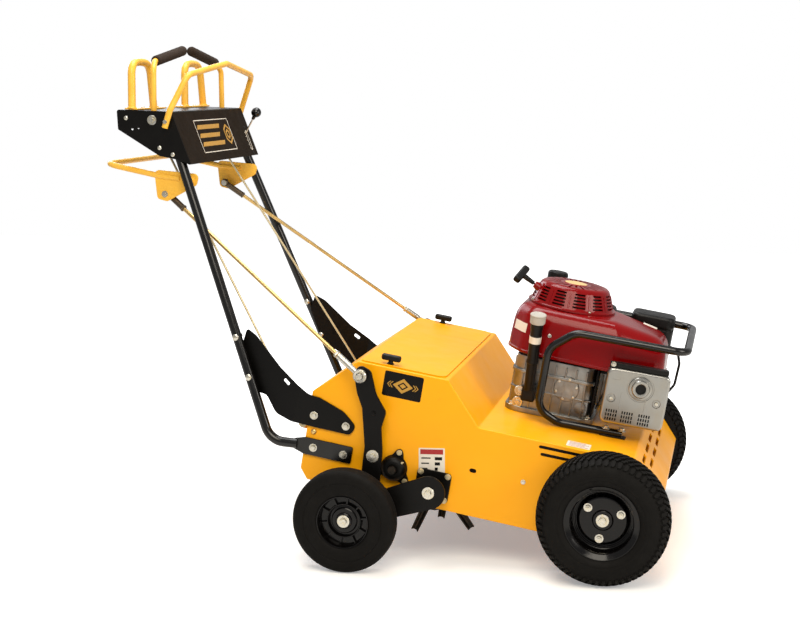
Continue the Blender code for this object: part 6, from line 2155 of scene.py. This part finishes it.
@dataclass
class Studio:
    """A pale seamless floor, soft lamps and the photograph's camera."""

    camera: tuple[float, float, float] = (0.887, -4.032, 1.202)
    azimuth: float = 12.7
    elevation: float = 8.84
    roll: float = 0.05
    focal: float = 69.1
    floor_half: float = 7
    paper: tuple[str, str] = ("#F2F1EE", "#ECEAE6")

    def floor(self) -> None:
        """Lays the floor, which the camera sees as white apart from the object's shadow."""
        mesh = bmesh.new()
        bmesh.ops.create_grid(mesh, x_segments=12, y_segments=12, size=self.floor_half)
        data = bpy.data.meshes.new("studio_floor")
        mesh.to_mesh(data)
        mesh.free()
        obj = bpy.data.objects.new("studio_floor", data)
        bpy.context.scene.collection.objects.link(obj)
        made = bpy.data.materials.new("matt paper floor")
        made.use_nodes = True
        tree = made.node_tree
        shader = tree.nodes["Principled BSDF"].inputs
        shader["Roughness"].default_value = 0.9
        shader["Emission Color"].default_value = linear("#FFFFFF")
        place = add_node(tree, "TexCoord", {}).outputs["Object"]
        fibre = add_node(tree, "TexNoise", {"Scale": per_metre(400), "Detail": 3}, {"Vector": place})
        pale, dull = (linear(colour) for colour in self.paper)
        paper = add_node(tree, "Mix", {"data_type": "RGBA", 6: pale, 7: dull}, {0: fibre})
        tree.links.new(paper.outputs[2], shader["Base Color"])
        away = add_node(tree, "VectorMath", {"operation": "LENGTH"}, {0: place}).outputs["Value"]
        span = {"From Min": 0.7, "From Max": 2.2, "To Min": 0.3, "To Max": 1}
        glow = add_node(tree, "MapRange", span, {"Value": away})
        rays = add_node(tree, "LightPath", {}).outputs["Is Camera Ray"]
        seen = add_node(tree, "Math", {"operation": "MULTIPLY"}, {0: glow, 1: rays})
        tree.links.new(seen.outputs[0], shader["Emission Strength"])
        data.materials.append(made)

    def world(self) -> None:
        """Fills the room with even light, white to the camera and in what glossy faces mirror."""
        world = bpy.data.worlds.new("white room")
        bpy.context.scene.world = world
        world.use_nodes = True
        tree = world.node_tree
        room = tree.nodes["Background"].inputs
        room["Color"].default_value = linear("#FFFFFF")
        rays = add_node(tree, "LightPath", {}).outputs
        direct = {0: rays["Is Camera Ray"], 1: rays["Is Transmission Ray"]}
        seen = add_node(tree, "Math", {"operation": "MAXIMUM"}, direct)
        mirrored = add_node(tree, "Math", {"operation": "MULTIPLY", 1: 0.2}, {0: rays["Is Glossy Ray"]})
        either = add_node(tree, "Math", {"operation": "MAXIMUM"}, {0: seen, 1: mirrored})
        strength = add_node(tree, "MapRange", {"To Min": 0.34, "To Max": 1}, {"Value": either})
        tree.links.new(strength.outputs[0], room["Strength"])

    def build(self) -> None:
        """Builds the studio and sets the scene's camera."""
        self.floor()
        self.world()
        for lamp in LAMPS:
            lamp.hang()
        data = bpy.data.cameras.new("camera")
        data.lens = self.focal
        data.sensor_width = 36
        data.sensor_fit = "HORIZONTAL"
        obj = bpy.data.objects.new("camera", data)
        turn = spin(self.azimuth) @ spin(90 - self.elevation, "X") @ spin(self.roll)
        obj.matrix_world = at(*self.camera) @ turn
        scene = bpy.context.scene
        scene.collection.objects.link(obj)
        scene.camera = obj
        scene.view_settings.view_transform = "Standard"


def main() -> None:
    """Builds the machine and its studio."""
    logging.basicConfig(level=logging.INFO, format="%(message)s")
    rear = CHASSIS.inverted() @ Vector((FRONT_TO_CENTRE - WHEELBASE, 0, REAR_RADIUS))
    for assembly in (
        HoodAndDeck(),
        FrontWheels(),
        RearWheels(rear.x, rear.z),
        LiftLinkage(rear.xz),
        HandleFrame(),
        Console(),
        Engine(),
        TineDrive(),
        Studio(),
    ):
        LOG.info("building %s", type(assembly).__name__)
        assembly.build()
    bpy.context.view_layer.update()


if __name__ == "__main__":
    main()
